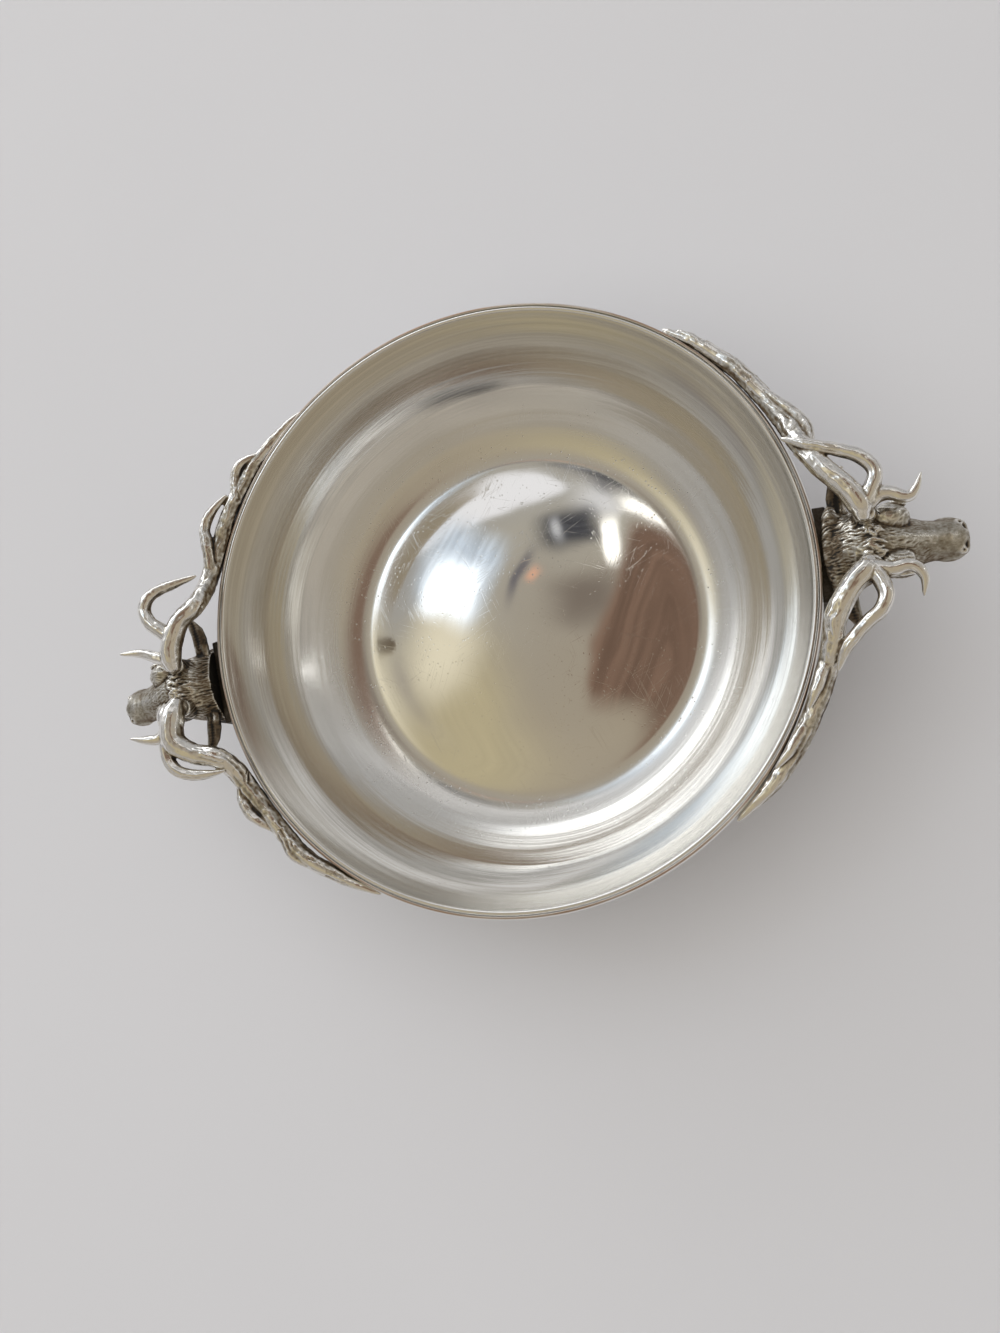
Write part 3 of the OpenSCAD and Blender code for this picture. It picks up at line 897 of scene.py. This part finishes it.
@dataclass
class Handle:
    """One handle: a saddle block, a stag's head and its two antlers. Sizes in millimetres.

    The head is modelled with X outwards from the bowl's axis, Y to the left and Z up from the lip.

    Attributes:
        hug: Stand-offs of the antlers' plan, and how close to the wire they are laid.
        sag: How much lower the antlers lie past sag_deg.
        bed_z: The height below which an antler is filed against the wire.
        muzzle: Where the smoother part of the head starts, from the neck's flat face.
        flat_deg: The angle below which faces of the saddle count as one.
        sharp_deg: The angle above which its edges are eased.
        palm: The side of the antler with a broad palm.
    """

    name: str
    turn_deg: float
    antlers: tuple[Antler, Antler]
    rim_z: float = 32.4
    wire_r: float = 58.3
    face: float = 60.2
    root_r: float = 65.9
    root_gap: float = 8.8
    seat: float = 3.2
    gap: float = 0.1
    bed_gap: float = 0.05
    bed_z: float = 0.3
    sag: float = 0.8
    sag_deg: tuple[float, float] = (16.0, 24.0)
    rubbed_deg: tuple[float, float] = (12.0, 24.0)
    hug: tuple[Sequence[float], Sequence[float]] = ((0.0, 6.5, 14.0, 100.0), (0.0, 0.0, 11.0, 97.5))
    beam: float = 3.6
    reach: float = 18.0
    crest: float = 0.9
    root_percent: float = 85.0
    stout: float = 1.14
    voxel: float = 0.15
    curve_steps: int = 6
    antler_rounds: int = 5
    head_rounds: int = 8
    muzzle_rounds: int = 12
    muzzle: tuple[float, float] = (12.0, 15.0)
    grooves: int = 7
    groove_depth: float = 0.1
    palm_step: int = 8
    palm_radii: Point = (2.8, 3.3, 1.7)
    ease: float = 0.8
    flat_deg: float = 0.5
    sharp_deg: float = 40.0
    weld: float = 0.002
    overhang: float = 0.0
    tuft: int = 34
    tuft_l: float = 2.2
    palm: int | None = None
    seed: float = 0.0

    def placed(self, skin: Skin) -> None:
        """Moves a finished skin from the handle's own place to the bowl."""
        turn = np.array(Matrix.Rotation(math.radians(self.turn_deg), 3, "Z"))
        skin.points = skin.points @ turn.T + (0.0, 0.0, self.rim_z)
        skin.store()

    def root(self, side: int) -> Vector:
        """Middle of an antler's seat."""
        angle = math.asin(self.root_gap / 2 / self.root_r)
        return Vector((self.root_r * math.cos(angle), side * self.root_r * math.sin(angle), self.seat))

    def station(self, given: Station, side: int) -> np.ndarray:
        """A station's place and radius.

        Args:
            given: The station.
            side: 1 where the antler goes to the left of the head, -1 to the right.

        Returns:
            X, Y, Z and the radius.
        """
        angle, away, height, thick = given
        radius = self.beam * self.stout * thick / 200
        close = away if away < 0 else float(np.interp(away, *self.hug))
        out = self.wire_r + self.reach * close / 100 + radius
        middle = self.seat + self.gap + self.beam / 2
        share = (height - self.root_percent) / (100 - self.root_percent)
        rise = middle * height / self.root_percent if share < 0 else middle + self.crest * share
        rise -= float(np.interp(angle, self.sag_deg, (0.0, self.sag)))
        turn = math.radians(angle)
        return np.array((out * math.cos(turn), side * out * math.sin(turn), rise, radius))

    def limb_path(self, limb: Sequence[Station], side: int) -> list[np.ndarray]:
        """A smooth run of stations through the given ones.

        Args:
            limb: The given stations.
            side: Which way the antler goes.

        Returns:
            Rows of X, Y, Z and radius.
        """
        rows = [self.station(q, side) for q in limb]
        last = len(rows) - 1
        path: list[np.ndarray] = []
        for i in range(last):
            a, b, c, d = rows[max(i - 1, 0)], rows[i], rows[i + 1], rows[min(i + 2, last)]
            square, cube = 2 * a - 5 * b + 4 * c - d, 3 * b - a - 3 * c + d
            for t in np.arange(self.curve_steps) / self.curve_steps:
                path.append(0.5 * (2 * b + (c - a) * t + square * t**2 + cube * t**3))
        path.append(rows[last])
        tip, before = path[-1], path[-2]
        ahead = (tip[:3] - before[:3]) / np.linalg.norm(tip[:3] - before[:3])
        path.append(np.array((*(tip[:3] + ahead * tip[3] * 1.6), tip[3] * 0.6)))
        return path

    def build_antler(self, rack: Rack, antler: Antler) -> bpy.types.Object:
        """Makes one antler.

        Args:
            rack: Where the finishes are.
            antler: The antler's plan.

        Returns:
            The piece.
        """
        clay = Clay()
        paths = [self.limb_path(limb, antler.side) for limb in antler.limbs]
        for path in paths:
            clay.limb([(Vector(row[:3]), row[3]) for row in path])
        root = self.root(antler.side) + UP * self.gap
        collar = self.beam * 0.5
        clay.rings([Matrix.Translation(root + UP * z) @ Matrix.Diagonal((collar * r, collar * r, 1, 1))
                    for z, r in COLLAR], 24)
        if self.palm == antler.side:
            middle = paths[0][self.palm_step]
            clay.ball(tuple(middle[:3] + (0.5, 0.0, -0.1)), self.palm_radii, 0, 25)
        skin = clay.fused(antler.name + "_antler_skin", self.voxel, self.antler_rounds)
        thick = self.groove(skin, paths, root)
        self.bed(skin)
        seated = np.linalg.norm(skin.points[:, :2] - np.array(root[:2]), axis=1) < collar + 0.8
        skin.points[:, 2] = np.where(seated, np.maximum(skin.points[:, 2], root.z), skin.points[:, 2])
        skin.store()
        turned = np.degrees(np.arctan2(np.abs(skin.points[:, 1]), skin.points[:, 0]))
        rubbed = 1 - unit_step(turned, *self.rubbed_deg)
        deep = 0.38 - 0.1 * rubbed + 0.15 * thick * (1 - rubbed)
        deep += 0.35 * skin.hollows(6, 0.06) + 0.35 * skin.hollows(50, 0.35)
        # Painted shade: faces turned down and to the sides are darkened as if shaded, on top of the patina in
        # the hollows.
        flank = unit_step(-skin.normals()[:, 2], -0.9, 0.1)
        skin.mark(skin.averaged((deep + 0.5 * flank)[:, None], 1)[:, 0])
        self.placed(skin)
        return rack.piece(antler.name + "_antler_casting", skin.mesh, Slot.CAST, antler.name + "_antler")

    def bed(self, skin: Skin) -> None:
        """Files the flank of an antler where it lies against the rim wire.

        Args:
            skin: The antler's skin.
        """
        radius = np.hypot(skin.points[:, 0], skin.points[:, 1])
        least = self.wire_r + self.bed_gap
        inside = (radius < least) & (skin.points[:, 2] < self.bed_z)
        skin.points[:, :2] *= np.where(inside, least / radius, 1.0)[:, None]

    def groove(self, skin: Skin, paths: Sequence[Sequence[np.ndarray]], root: Vector) -> np.ndarray:
        """Cuts the grooves and knots of an antler.

        Args:
            skin: The antler's skin.
            paths: The smooth stations of its limbs.
            root: Where it is seated.

        Returns:
            0 to 1 at each point: 0 at the tips of the tines and 1 on the thick of the beam.
        """
        rows = [(path[i], path[min(i + 1, len(path) - 1)][:3] - path[max(i - 1, 0)][:3], i)
                for path in paths for i in range(len(path))]
        tree = kdtree.KDTree(len(rows))
        for i, (row, _, _) in enumerate(rows):
            tree.insert(row[:3], i)
        tree.balance()
        near = np.array([tree.find(point)[1] for point in skin.points])
        middles = np.array([row[0][:3] for row in rows])[near]
        radii = np.array([row[0][3] for row in rows])[near]
        along = np.array([row[1] / np.linalg.norm(row[1]) for row in rows])[near]
        steps = np.array([row[2] for row in rows])[near]
        aside = np.cross((0.0, 0.0, 1.0), along)
        aside /= np.linalg.norm(aside, axis=1)[:, None]
        above = np.cross(along, aside)
        offset = skin.points - middles
        turn = np.arctan2((offset * above).sum(axis=1), (offset * aside).sum(axis=1))
        wander = noise_at(skin.points, 0.3, 5.0 + self.seed)
        cuts = np.cos(self.grooves * turn + 0.1 * steps + 3.5 * wander)
        thick = unit_step(radii, 0.5, 1.5)
        fade = 0.25 + 0.75 * unit_step(noise_at(skin.points, 0.22, 17.0), -0.3, 0.4)
        knots = noise_at(skin.points, 0.5, 31.0 + self.seed) * 0.16 + noise_at(skin.points, 1.3, 47.0) * 0.07
        near_root = 1 - unit_step(np.linalg.norm(skin.points - np.array(root), axis=1), 6.0, 18.0)
        rise = cuts * self.groove_depth * thick * fade + knots * (0.4 + 0.6 * thick)
        skin.lift(rise * (1 - 0.6 * near_root))
        return thick

    def build_head(self, rack: Rack) -> bpy.types.Object:
        """Makes the stag's head.

        Args:
            rack: Where the finishes are.

        Returns:
            The piece.
        """
        clay = Clay()
        self.block_skull(clay)
        for side in (-1, 1):
            self.block_face(clay, side)
            self.block_ear(clay, side)
        self.block_forelock(clay)
        skin = clay.fused(self.name + "_stag_head_skin", self.voxel, self.head_rounds)
        muzzle = unit_step(skin.points[:, 0] - self.face, *self.muzzle)
        skin.points += (skin.averaged(skin.points, self.muzzle_rounds) - skin.points) * muzzle[:, None]
        skin.store()
        self.carve_face(skin)
        self.chase_hair(skin)
        least = np.where(skin.points[:, 2] > -2.0, self.face - self.overhang, self.face)
        skin.points[:, 0] = np.maximum(skin.points[:, 0], least)
        skin.store()
        deep = 0.56 + 0.4 * skin.hollows(5, 0.05) + 0.5 * skin.hollows(50, 0.45)
        # Painted shade: faces turned down and to the sides, the back of the neck against the bowl and the
        # ears under the antlers are darkened as if shaded; the tip of the nose is darker too.
        flank = unit_step(-skin.normals()[:, 2], -0.85, 0.2)
        back = 1 - unit_step(skin.points[:, 0] - self.face, 0.2, 3.0)
        ears = unit_step(np.abs(skin.points[:, 1]), 6.5, 8.5)
        nose = unit_step(skin.points[:, 0] - self.face, 20.3, 21.8)
        dirt_and_shade = deep + 0.35 * flank + 0.22 * back + 0.25 * ears + 0.12 * nose
        skin.mark(skin.averaged(dirt_and_shade[:, None], 1)[:, 0])
        self.placed(skin)
        return rack.piece(self.name + "_stag_casting", skin.mesh, Slot.CHASED, self.name + "_stag_head")

    def block_skull(self, clay: Clay) -> None:
        """Blocks out the neck, the skull and the muzzle.

        Args:
            clay: Where they are added.
        """
        clay.rings([
            Matrix.Translation((self.face + x, 0, (top + low) / 2))
            @ Matrix.Rotation(math.pi / 2, 4, "Y")
            @ Matrix.Diagonal(((top - low) / 2, half, 1.0, 1.0))
            for x, half, top, low in SKULL], 40)
        if self.overhang:
            clay.ball((self.face + 0.6, 0, -1.0), (self.overhang + 0.7, 8.2, 1.4))
        clay.ball((self.face + 19.6, 0, -6.1), (2.1, 2.3, 0.9), -4)

    def skull_top(self, x: float, y: float) -> float:
        """Height of the skull's top.

        Args:
            x: Distance from the neck's flat face.
            y: Distance from the middle.

        Returns:
            The height above the lip.
        """
        places = [row[0] for row in SKULL]
        half, top, low = (float(np.interp(x, places, [row[i] for row in SKULL])) for i in (1, 2, 3))
        return (top + low) / 2 + (top - low) / 2 * math.sqrt(max(1 - (y / half) ** 2, 0.0))

    def block_face(self, clay: Clay, side: int) -> None:
        """Blocks out one side of the face: cheek, eye, lids, nostril and the antler's seat.

        Args:
            clay: Where they are added.
            side: 1 for the left side, -1 for the right.
        """
        at = self.face
        clay.ball((at + 10.2, side * 3.3, -3.6), (4.2, 2.1, 3.3), 10, -side * 9)
        clay.ball((at + 9.9, side * 4.0, 0.9), (3.1, 2.3, 1.9), 14, -side * 12)
        clay.ball((at + 10.6, side * 5.45, 0.4), (1.35, 1.0, 1.15))
        turns = [(math.cos(t), math.sin(t)) for t in np.linspace(0.15, math.pi - 0.15, 9)]
        for rise, width in ((1.2, 0.36), (-1.15, 0.3)):
            clay.limb([
                (Vector((at + 10.6 + 1.7 * c, side * (5.9 + 0.25 * abs(s)), 0.4 + rise * s + 0.1 * c)), width)
                for c, s in turns], 10)
        clay.ball((at + 20.7, side * 2.1, -3.5), (1.2, 0.95, 0.85), 10, side * 20)
        clay.ball((at + 18.8, side * 2.7, -4.6), (2.6, 1.2, 1.3))
        root = self.root(side)
        clay.rings([Matrix.Translation((root.x, root.y * pull, z)) @ Matrix.Diagonal((r, r, 1, 1))
                    for z, r, pull in (*SEAT_RINGS, (self.seat, SEAT_R, 1.0))], 24)

    def block_ear(self, clay: Clay, side: int) -> None:
        """Blocks out the ear of a side, a leaf that stands out sideways behind the antler."""
        clay.limb([(Vector((self.face + x, side * y, z)), r) for x, y, z, r in EAR], 16, 0.5)

    def block_forelock(self, clay: Clay) -> None:
        """Blocks out the tuft between the antlers and the locks behind it.

        Args:
            clay: Where they are added.
        """
        draw = np.random.default_rng(11 + int(self.seed))
        for _ in range(self.tuft):
            x, y = 4.6 + self.tuft_l * draw.random(), draw.uniform(-3.3, 3.3)
            length, bend, thick = draw.uniform(1.3, 2.2), draw.uniform(-0.9, 0.9), draw.uniform(0.26, 0.4)
            fan = 0.12 * y
            points = [(x + length * s, y + fan * s + bend * w, lift, r) for s, w, lift, r in LOCK]
            clay.limb([(Vector((self.face + u, v, self.skull_top(u, v) + lift + 0.1)), thick * r)
                       for u, v, lift, r in points], 10)

    def carve_face(self, skin: Skin) -> None:
        """Cuts the nostrils, the mouth, the tear lines, the eyes' corners and the ears' hollows.

        Args:
            skin: The head's skin.
        """
        at = self.face
        cuts: list[tuple[Point, float, float]] = []
        for side in (-1, 1):
            cuts.append(((at + 21.7, side * 1.65, -3.35), 0.6, 0.75))
            cuts.append(((at + 21.1, side * 2.55, -3.0), 0.42, 0.4))
            for t in np.linspace(0.0, 1.0, 22):
                mouth = (at + 22.4 - 5.2 * t, side * (0.4 + 3.3 * t**0.6), -5.05 - 0.25 * math.sin(3 * t))
                cuts.append((mouth, 0.3, 0.38))
            for t in np.linspace(0, 1, 8):
                cuts.append(((at + 12.6 + 2.2 * t, side * (4.9 - 0.8 * t), 0.1 - 1.1 * t), 0.34, 0.3))
            for t in np.linspace(0, 1, 12):
                cuts.append(((at + 1.75 + 0.5 * t * t, side * (6.6 + 6.2 * t), -0.2 + 0.7 * t), 0.6, 0.42))
        cuts += [((at + 22.35, 0.0, -4.2 - 0.5 * t), 0.24, 0.25) for t in np.linspace(-0.6, 1.2, 6)]
        sink = np.zeros(skin.count)
        for centre, width, depth in cuts:
            away = np.linalg.norm(skin.points - np.array(centre), axis=1)
            sink = np.maximum(sink, depth * np.exp(-((away / width) ** 2)))
        skin.lift(-sink)

    def chase_hair(self, skin: Skin) -> None:
        """Chases the hair: long locks on the neck, short strokes on the brow and cheeks, none on the nose.

        Args:
            skin: The head's skin.
        """
        away = skin.points[:, 0] - self.face
        axis = np.interp(away, (0.0, 8.0, 22.0), (-5.0, -2.0, -4.2))
        turn = np.arctan2(skin.points[:, 1], skin.points[:, 2] - axis)
        girth = np.interp(away, (0.0, 8.0, 14.0, 22.0), (6.8, 5.6, 3.9, 2.8))
        arc = turn * girth
        flow = np.column_stack((away, arc, np.full(skin.count, self.seed)))
        arc = arc + 1.3 * noise_at(flow, 0.25, 3.0)
        flow = np.column_stack((away, arc, np.full(skin.count, self.seed)))
        locks = 1 - 2.5 * np.abs(noise_at(flow, (0.5, 1.5, 1.0), 7.0))
        hairs = 1 - 2.5 * np.abs(noise_at(flow, (0.9, 3.0, 1.0), 13.0))
        neck = 1 - unit_step(away, 4.0, 8.5)
        brow = unit_step(away, 4.0, 7.0) * (1 - unit_step(away, 12.5, 17.0))
        nose = unit_step(away, 12.5, 17.0)
        tufts = noise_at(skin.points, 0.4, 41.0 + self.seed)
        height = neck * (0.07 * locks + 0.07 * hairs + 0.35 * tufts)
        height += brow * (0.03 * locks + 0.05 * hairs) + nose * 0.015 * hairs
        middle = np.exp(-((skin.points[:, 1] / 1.5) ** 2)) * unit_step(skin.points[:, 2] - axis, 0.5, 1.5)
        height += middle * unit_step(away, 9.0, 12.0) * (1 - unit_step(away, 19.0, 21.0)) * 0.3
        height += 0.03 * noise_at(skin.points, 1.1, 53.0)
        plain = 1 - unit_step(np.abs(skin.points[:, 1]), 7.5, 9.0)
        skin.lift(height * (0.3 + 0.7 * plain))

    def build_saddle(self, rack: Rack) -> bpy.types.Object:
        """Makes the saddle block from a copy of its CAD mesh, with eased edges.

        Args:
            rack: Where the finishes are.

        Returns:
            The piece.
        """
        node = self.name + "_saddle"
        bm = bmesh.new()
        bm.from_mesh(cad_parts[node].data)
        bmesh.ops.scale(bm, vec=(1 / MM,) * 3, verts=bm.verts)
        flat, corner = math.radians(self.flat_deg), math.radians(self.sharp_deg)
        bmesh.ops.remove_doubles(bm, verts=bm.verts, dist=self.weld)
        bmesh.ops.dissolve_limit(bm, angle_limit=flat, verts=bm.verts, edges=bm.edges)
        sharp = [edge for edge in bm.edges if edge.is_manifold and edge.calc_face_angle() > corner]
        bmesh.ops.bevel(
            bm, geom=sharp, offset=self.ease, offset_type="OFFSET", segments=4, profile=0.5, affect="EDGES",
            material=-1, clamp_overlap=True)
        skin = Skin(meshed(bm, node + "_skin"))
        skin.mark(np.full(skin.count, 0.5))
        # The saddle's finish is dark oxide with painted shade laid over it.
        return rack.piece(self.name + "_saddle_block", skin.mesh, Slot.OXIDE_AND_SHADE, node)

    def build(self, rack: Rack) -> list[bpy.types.Object]:
        """Makes the whole handle with the rack's finishes and returns its pieces."""
        pieces = [self.build_saddle(rack), self.build_head(rack)]
        return pieces + [self.build_antler(rack, antler) for antler in self.antlers]


@dataclass(frozen=True)
class Card:
    """A soft window or card of the room, as it is seen from the bowl.

    Attributes:
        name: What it is.
        azimuth: Its direction round the bowl, in degrees from +X.
        elevation: Its height, in degrees.
        wide: Half its width, as the tangent of the angle.
        tall: Half its height, in the same way.
        colour: Its light.
        soft: How much of it is its soft edge.
        roll: How far it is turned about its own middle, in degrees.
        grain: How much darker its stripes are.
    """

    name: str
    azimuth: float
    elevation: float
    wide: float
    tall: float
    colour: Colour
    soft: float = 0.4
    roll: float = 0.0
    grain: float = 0.0

    def hung(self, graph: Graph, ray: Value, sight: Value, room: Value) -> Value:
        """Hangs the card in the room.

        Args:
            graph: The world's graph.
            ray: The ray's direction, a little stirred.
            sight: The same, not stirred.
            room: The light of the room without it.

        Returns:
            The light with it.
        """
        turn, rise, roll = (math.radians(a) for a in (self.azimuth, self.elevation, self.roll))
        ahead = Vector((math.cos(turn) * math.cos(rise), math.sin(turn) * math.cos(rise), math.sin(rise)))
        level = Vector((-math.sin(turn), math.cos(turn), 0.0))
        plumb = ahead.cross(level)
        aside = level * math.cos(roll) + plumb * math.sin(roll)
        above = plumb * math.cos(roll) - level * math.sin(roll)
        facing = graph.dot(ray, ahead).at_least(0.05)
        across, upward = graph.dot(ray, aside) / facing, graph.dot(ray, above) / facing
        mask = abs(across).step(self.wide * (1 - self.soft), self.wide, FALL)
        mask = mask * abs(upward).step(self.tall * (1 - self.soft), self.tall, FALL)
        if not self.grain:
            return graph.blend(mask, room, self.colour)
        lines = graph.joined(graph.dot(sight, aside) * 2.0, graph.dot(sight, above) * 75.0, self.azimuth)
        stripes = graph.noise(lines, 1.0, 3.0).step(0.35, 0.65)
        dark = tuple(part * (1 - self.grain) for part in self.colour)
        return graph.blend(mask, room, graph.blend(stripes, dark, self.colour))


@dataclass
class Studio:
    """The floor, the soft room round it, the lamp and the camera. Sizes in metres."""

    floor_half: float = 3.0
    camera: Point = (0.042973, -0.045454, 0.207782)
    aim: Point = (-0.00096, -0.012696, 0.0324)
    above: Point = (0.1911, 0.97241, 0.13376)
    lens_mm: float = 27.0
    sensor_mm: float = 36.0
    clip: tuple[float, float] = (0.005, 50.0)
    background: Colour = (0.8, 0.8, 0.82)
    front: Colour = (1.12, 1.06, 0.97)
    back: Colour = (1.08, 1.11, 1.17)
    towards_back: Point = (-0.34, 0.94, 0.0)
    stir: float = 0.15
    bands: tuple[tuple[float, Colour], ...] = (
        (0.0, (0.3, 0.295, 0.3)), (0.06, (0.13, 0.125, 0.13)), (0.13, (0.5, 0.49, 0.475)),
        (0.2, (0.2, 0.19, 0.185)), (0.28, (0.56, 0.545, 0.51)), (0.36, (0.23, 0.22, 0.21)),
        (0.45, (0.48, 0.46, 0.43)), (0.6, (0.31, 0.295, 0.27)), (0.8, (0.38, 0.345, 0.28)),
        (1.0, (0.32, 0.28, 0.22)))
    cards: tuple[Card, ...] = (
        Card("back wall", 98, 45.5, 1.5, 0.07, (0.85, 0.84, 0.85), 0.5),
        Card("back wall's end", 74, 51, 0.22, 0.09, (0.74, 0.73, 0.73), 0.8),
        Card("mauve corner", 180, 46, 0.22, 0.16, (0.25, 0.23, 0.235), 0.7),
        Card("pink rug", 84, 74.5, 0.2, 0.16, (0.2, 0.165, 0.135), 0.9),
        Card("low window", 122, 20, 0.85, 0.22, (2.9, 2.95, 3.0), 0.8),
        Card("pale cupboard", -8, 11, 0.5, 0.12, (0.8, 0.77, 0.7), 0.8),
        Card("ochre blind", -163, 61, 0.62, 0.34, (0.5, 0.43, 0.275), 0.9, 0, 0.1),
        Card("lit sill", 162, 57, 0.25, 0.2, (0.78, 0.71, 0.54), 0.9),
        Card("tall window", 133, 52, 0.23, 0.2, (0.8, 0.9, 1.02), 0.6, 12, 0.5),
        Card("bright pane", 140, 53, 0.17, 0.15, (2.2, 2.35, 2.5), 0.8, 12, 0.3),
        Card("side window", 15, 24, 0.03, 0.16, (4.0, 4.0, 3.9), 0.9, 6),
        Card("dark doorway", 89, 57.5, 0.15, 0.11, (0.09, 0.09, 0.1), 0.65, 4, 0.5),
        Card("door's pane", 93.7, 57.5, 0.03, 0.08, (0.6, 0.6, 0.61), 0.9, 8),
        Card("coat stand", 116.6, 64.4, 0.035, 0.15, (0.15, 0.14, 0.15), 0.8, -62),
        Card("copper pan", 109.5, 66.3, 0.025, 0.055, (0.75, 0.42, 0.28), 0.9, -60),
        Card("wooden panel", 32.4, 72.5, 0.46, 0.2, (0.235, 0.148, 0.105), 0.3, -58, 0.4),
        Card("standing lamp", 73, 61, 0.04, 0.14, (2.4, 2.35, 2.2), 0.7, 8),
        Card("dark shelf", -95, 9, 0.3, 0.16, (0.05, 0.045, 0.045), 0.6),
    )
    lamp_place: Point = (-0.2, 0.12, 0.9)
    lamp_size: float = 1.6
    lamp_power: float = 7.4
    lamp_colour: Colour = (0.97, 0.985, 1.0)

    def build_floor(self) -> None:
        """Lays the floor."""
        bm = bmesh.new()
        bmesh.ops.create_grid(bm, x_segments=8, y_segments=8, size=self.floor_half)
        mesh = meshed(bm, "floor_sheet")
        mesh.materials.append(PaperFloor().material())
        floor = linked("floor_sheet", mesh)

    def build_room(self) -> None:
        """Makes the soft room that lights the bowl and shows in it. The camera sees only its pale tone."""
        world = bpy.data.worlds.new("soft_room")
        bpy.context.scene.world = world
        world.use_nodes = True
        graph = Graph(world.node_tree)
        sight = graph.node("ShaderNodeTexCoord", {}, {}, "Generated")
        stir = graph.node("ShaderNodeTexNoise", {}, {"Vector": sight, "Scale": 3.0, "Detail": 2.0}, "Color")
        stir = graph.node("ShaderNodeVectorMath", {"operation": "SUBTRACT"}, {0: stir, 1: (0.5, 0.5, 0.5)})
        stirred = {0: stir, 1: (self.stir,) * 3, 2: sight}
        ray = graph.node("ShaderNodeVectorMath", {"operation": "MULTIPLY_ADD"}, stirred)
        wave = graph.noise(sight, 1.3, 2.0)
        bands = graph.ramp(graph.split(ray)[2] + (wave - 0.5) * 0.12, self.bands)
        side = graph.blend(graph.dot(ray, self.towards_back).step(-0.7, 0.7), self.front, self.back)
        light = graph.node("ShaderNodeVectorMath", {"operation": "MULTIPLY"}, {0: bands, 1: side})
        for card in self.cards:
            light = card.hung(graph, ray, sight, light)
        seen = graph.node("ShaderNodeLightPath", {}, {}, "Is Camera Ray")
        colour = graph.blend(seen, light, self.background)
        graph.feed(world.node_tree.nodes["Background"], {"Color": colour})

    def build_lamp(self) -> None:
        """Hangs the soft lamp over the floor. It does not show in the metal."""
        data = bpy.data.lights.new("soft_lamp", "AREA")
        data.size, data.energy, data.color = self.lamp_size, self.lamp_power, self.lamp_colour
        lamp = linked("soft_lamp", data)
        lamp.location = self.lamp_place
        lamp.rotation_euler = Vector(self.lamp_place).to_track_quat("Z", "Y").to_euler()
        lamp.visible_glossy = lamp.visible_camera = False

    def build_camera(self) -> None:
        """Sets the camera where the photograph was taken from."""
        data = bpy.data.cameras.new("camera")
        data.lens, data.sensor_width = self.lens_mm, self.sensor_mm
        data.clip_start, data.clip_end = self.clip
        back = (Vector(self.camera) - Vector(self.aim)).normalized()
        right = Vector(self.above).cross(back).normalized()
        turn = Matrix((right, back.cross(right), back)).transposed().to_4x4()
        camera = linked("camera", data)
        camera.matrix_world = Matrix.Translation(self.camera) @ turn
        bpy.context.scene.camera = camera

    def build(self) -> None:
        """Makes the floor, the room, the lamp and the camera."""
        bpy.context.scene.view_settings.view_transform = "Standard"
        self.build_floor()
        self.build_room()
        self.build_lamp()
        self.build_camera()


def main() -> None:
    """Builds the studio and every piece."""
    logging.basicConfig(level=logging.INFO, format="%(name)s: %(message)s")
    Studio().build()
    rack = Rack()
    pieces = Bowl().build(rack)
    pieces += Handle("right", -4.0, (RIGHT_BACK, RIGHT_FRONT), overhang=1.6).build(rack)
    left = Handle("left", 184.0, (LEFT_BACK, LEFT_FRONT), tuft=40, tuft_l=2.4, palm=1, seed=7.0)
    pieces += left.build(rack)
    LOG.info("%d pieces", len(pieces))


if __name__ == "__main__":
    main()
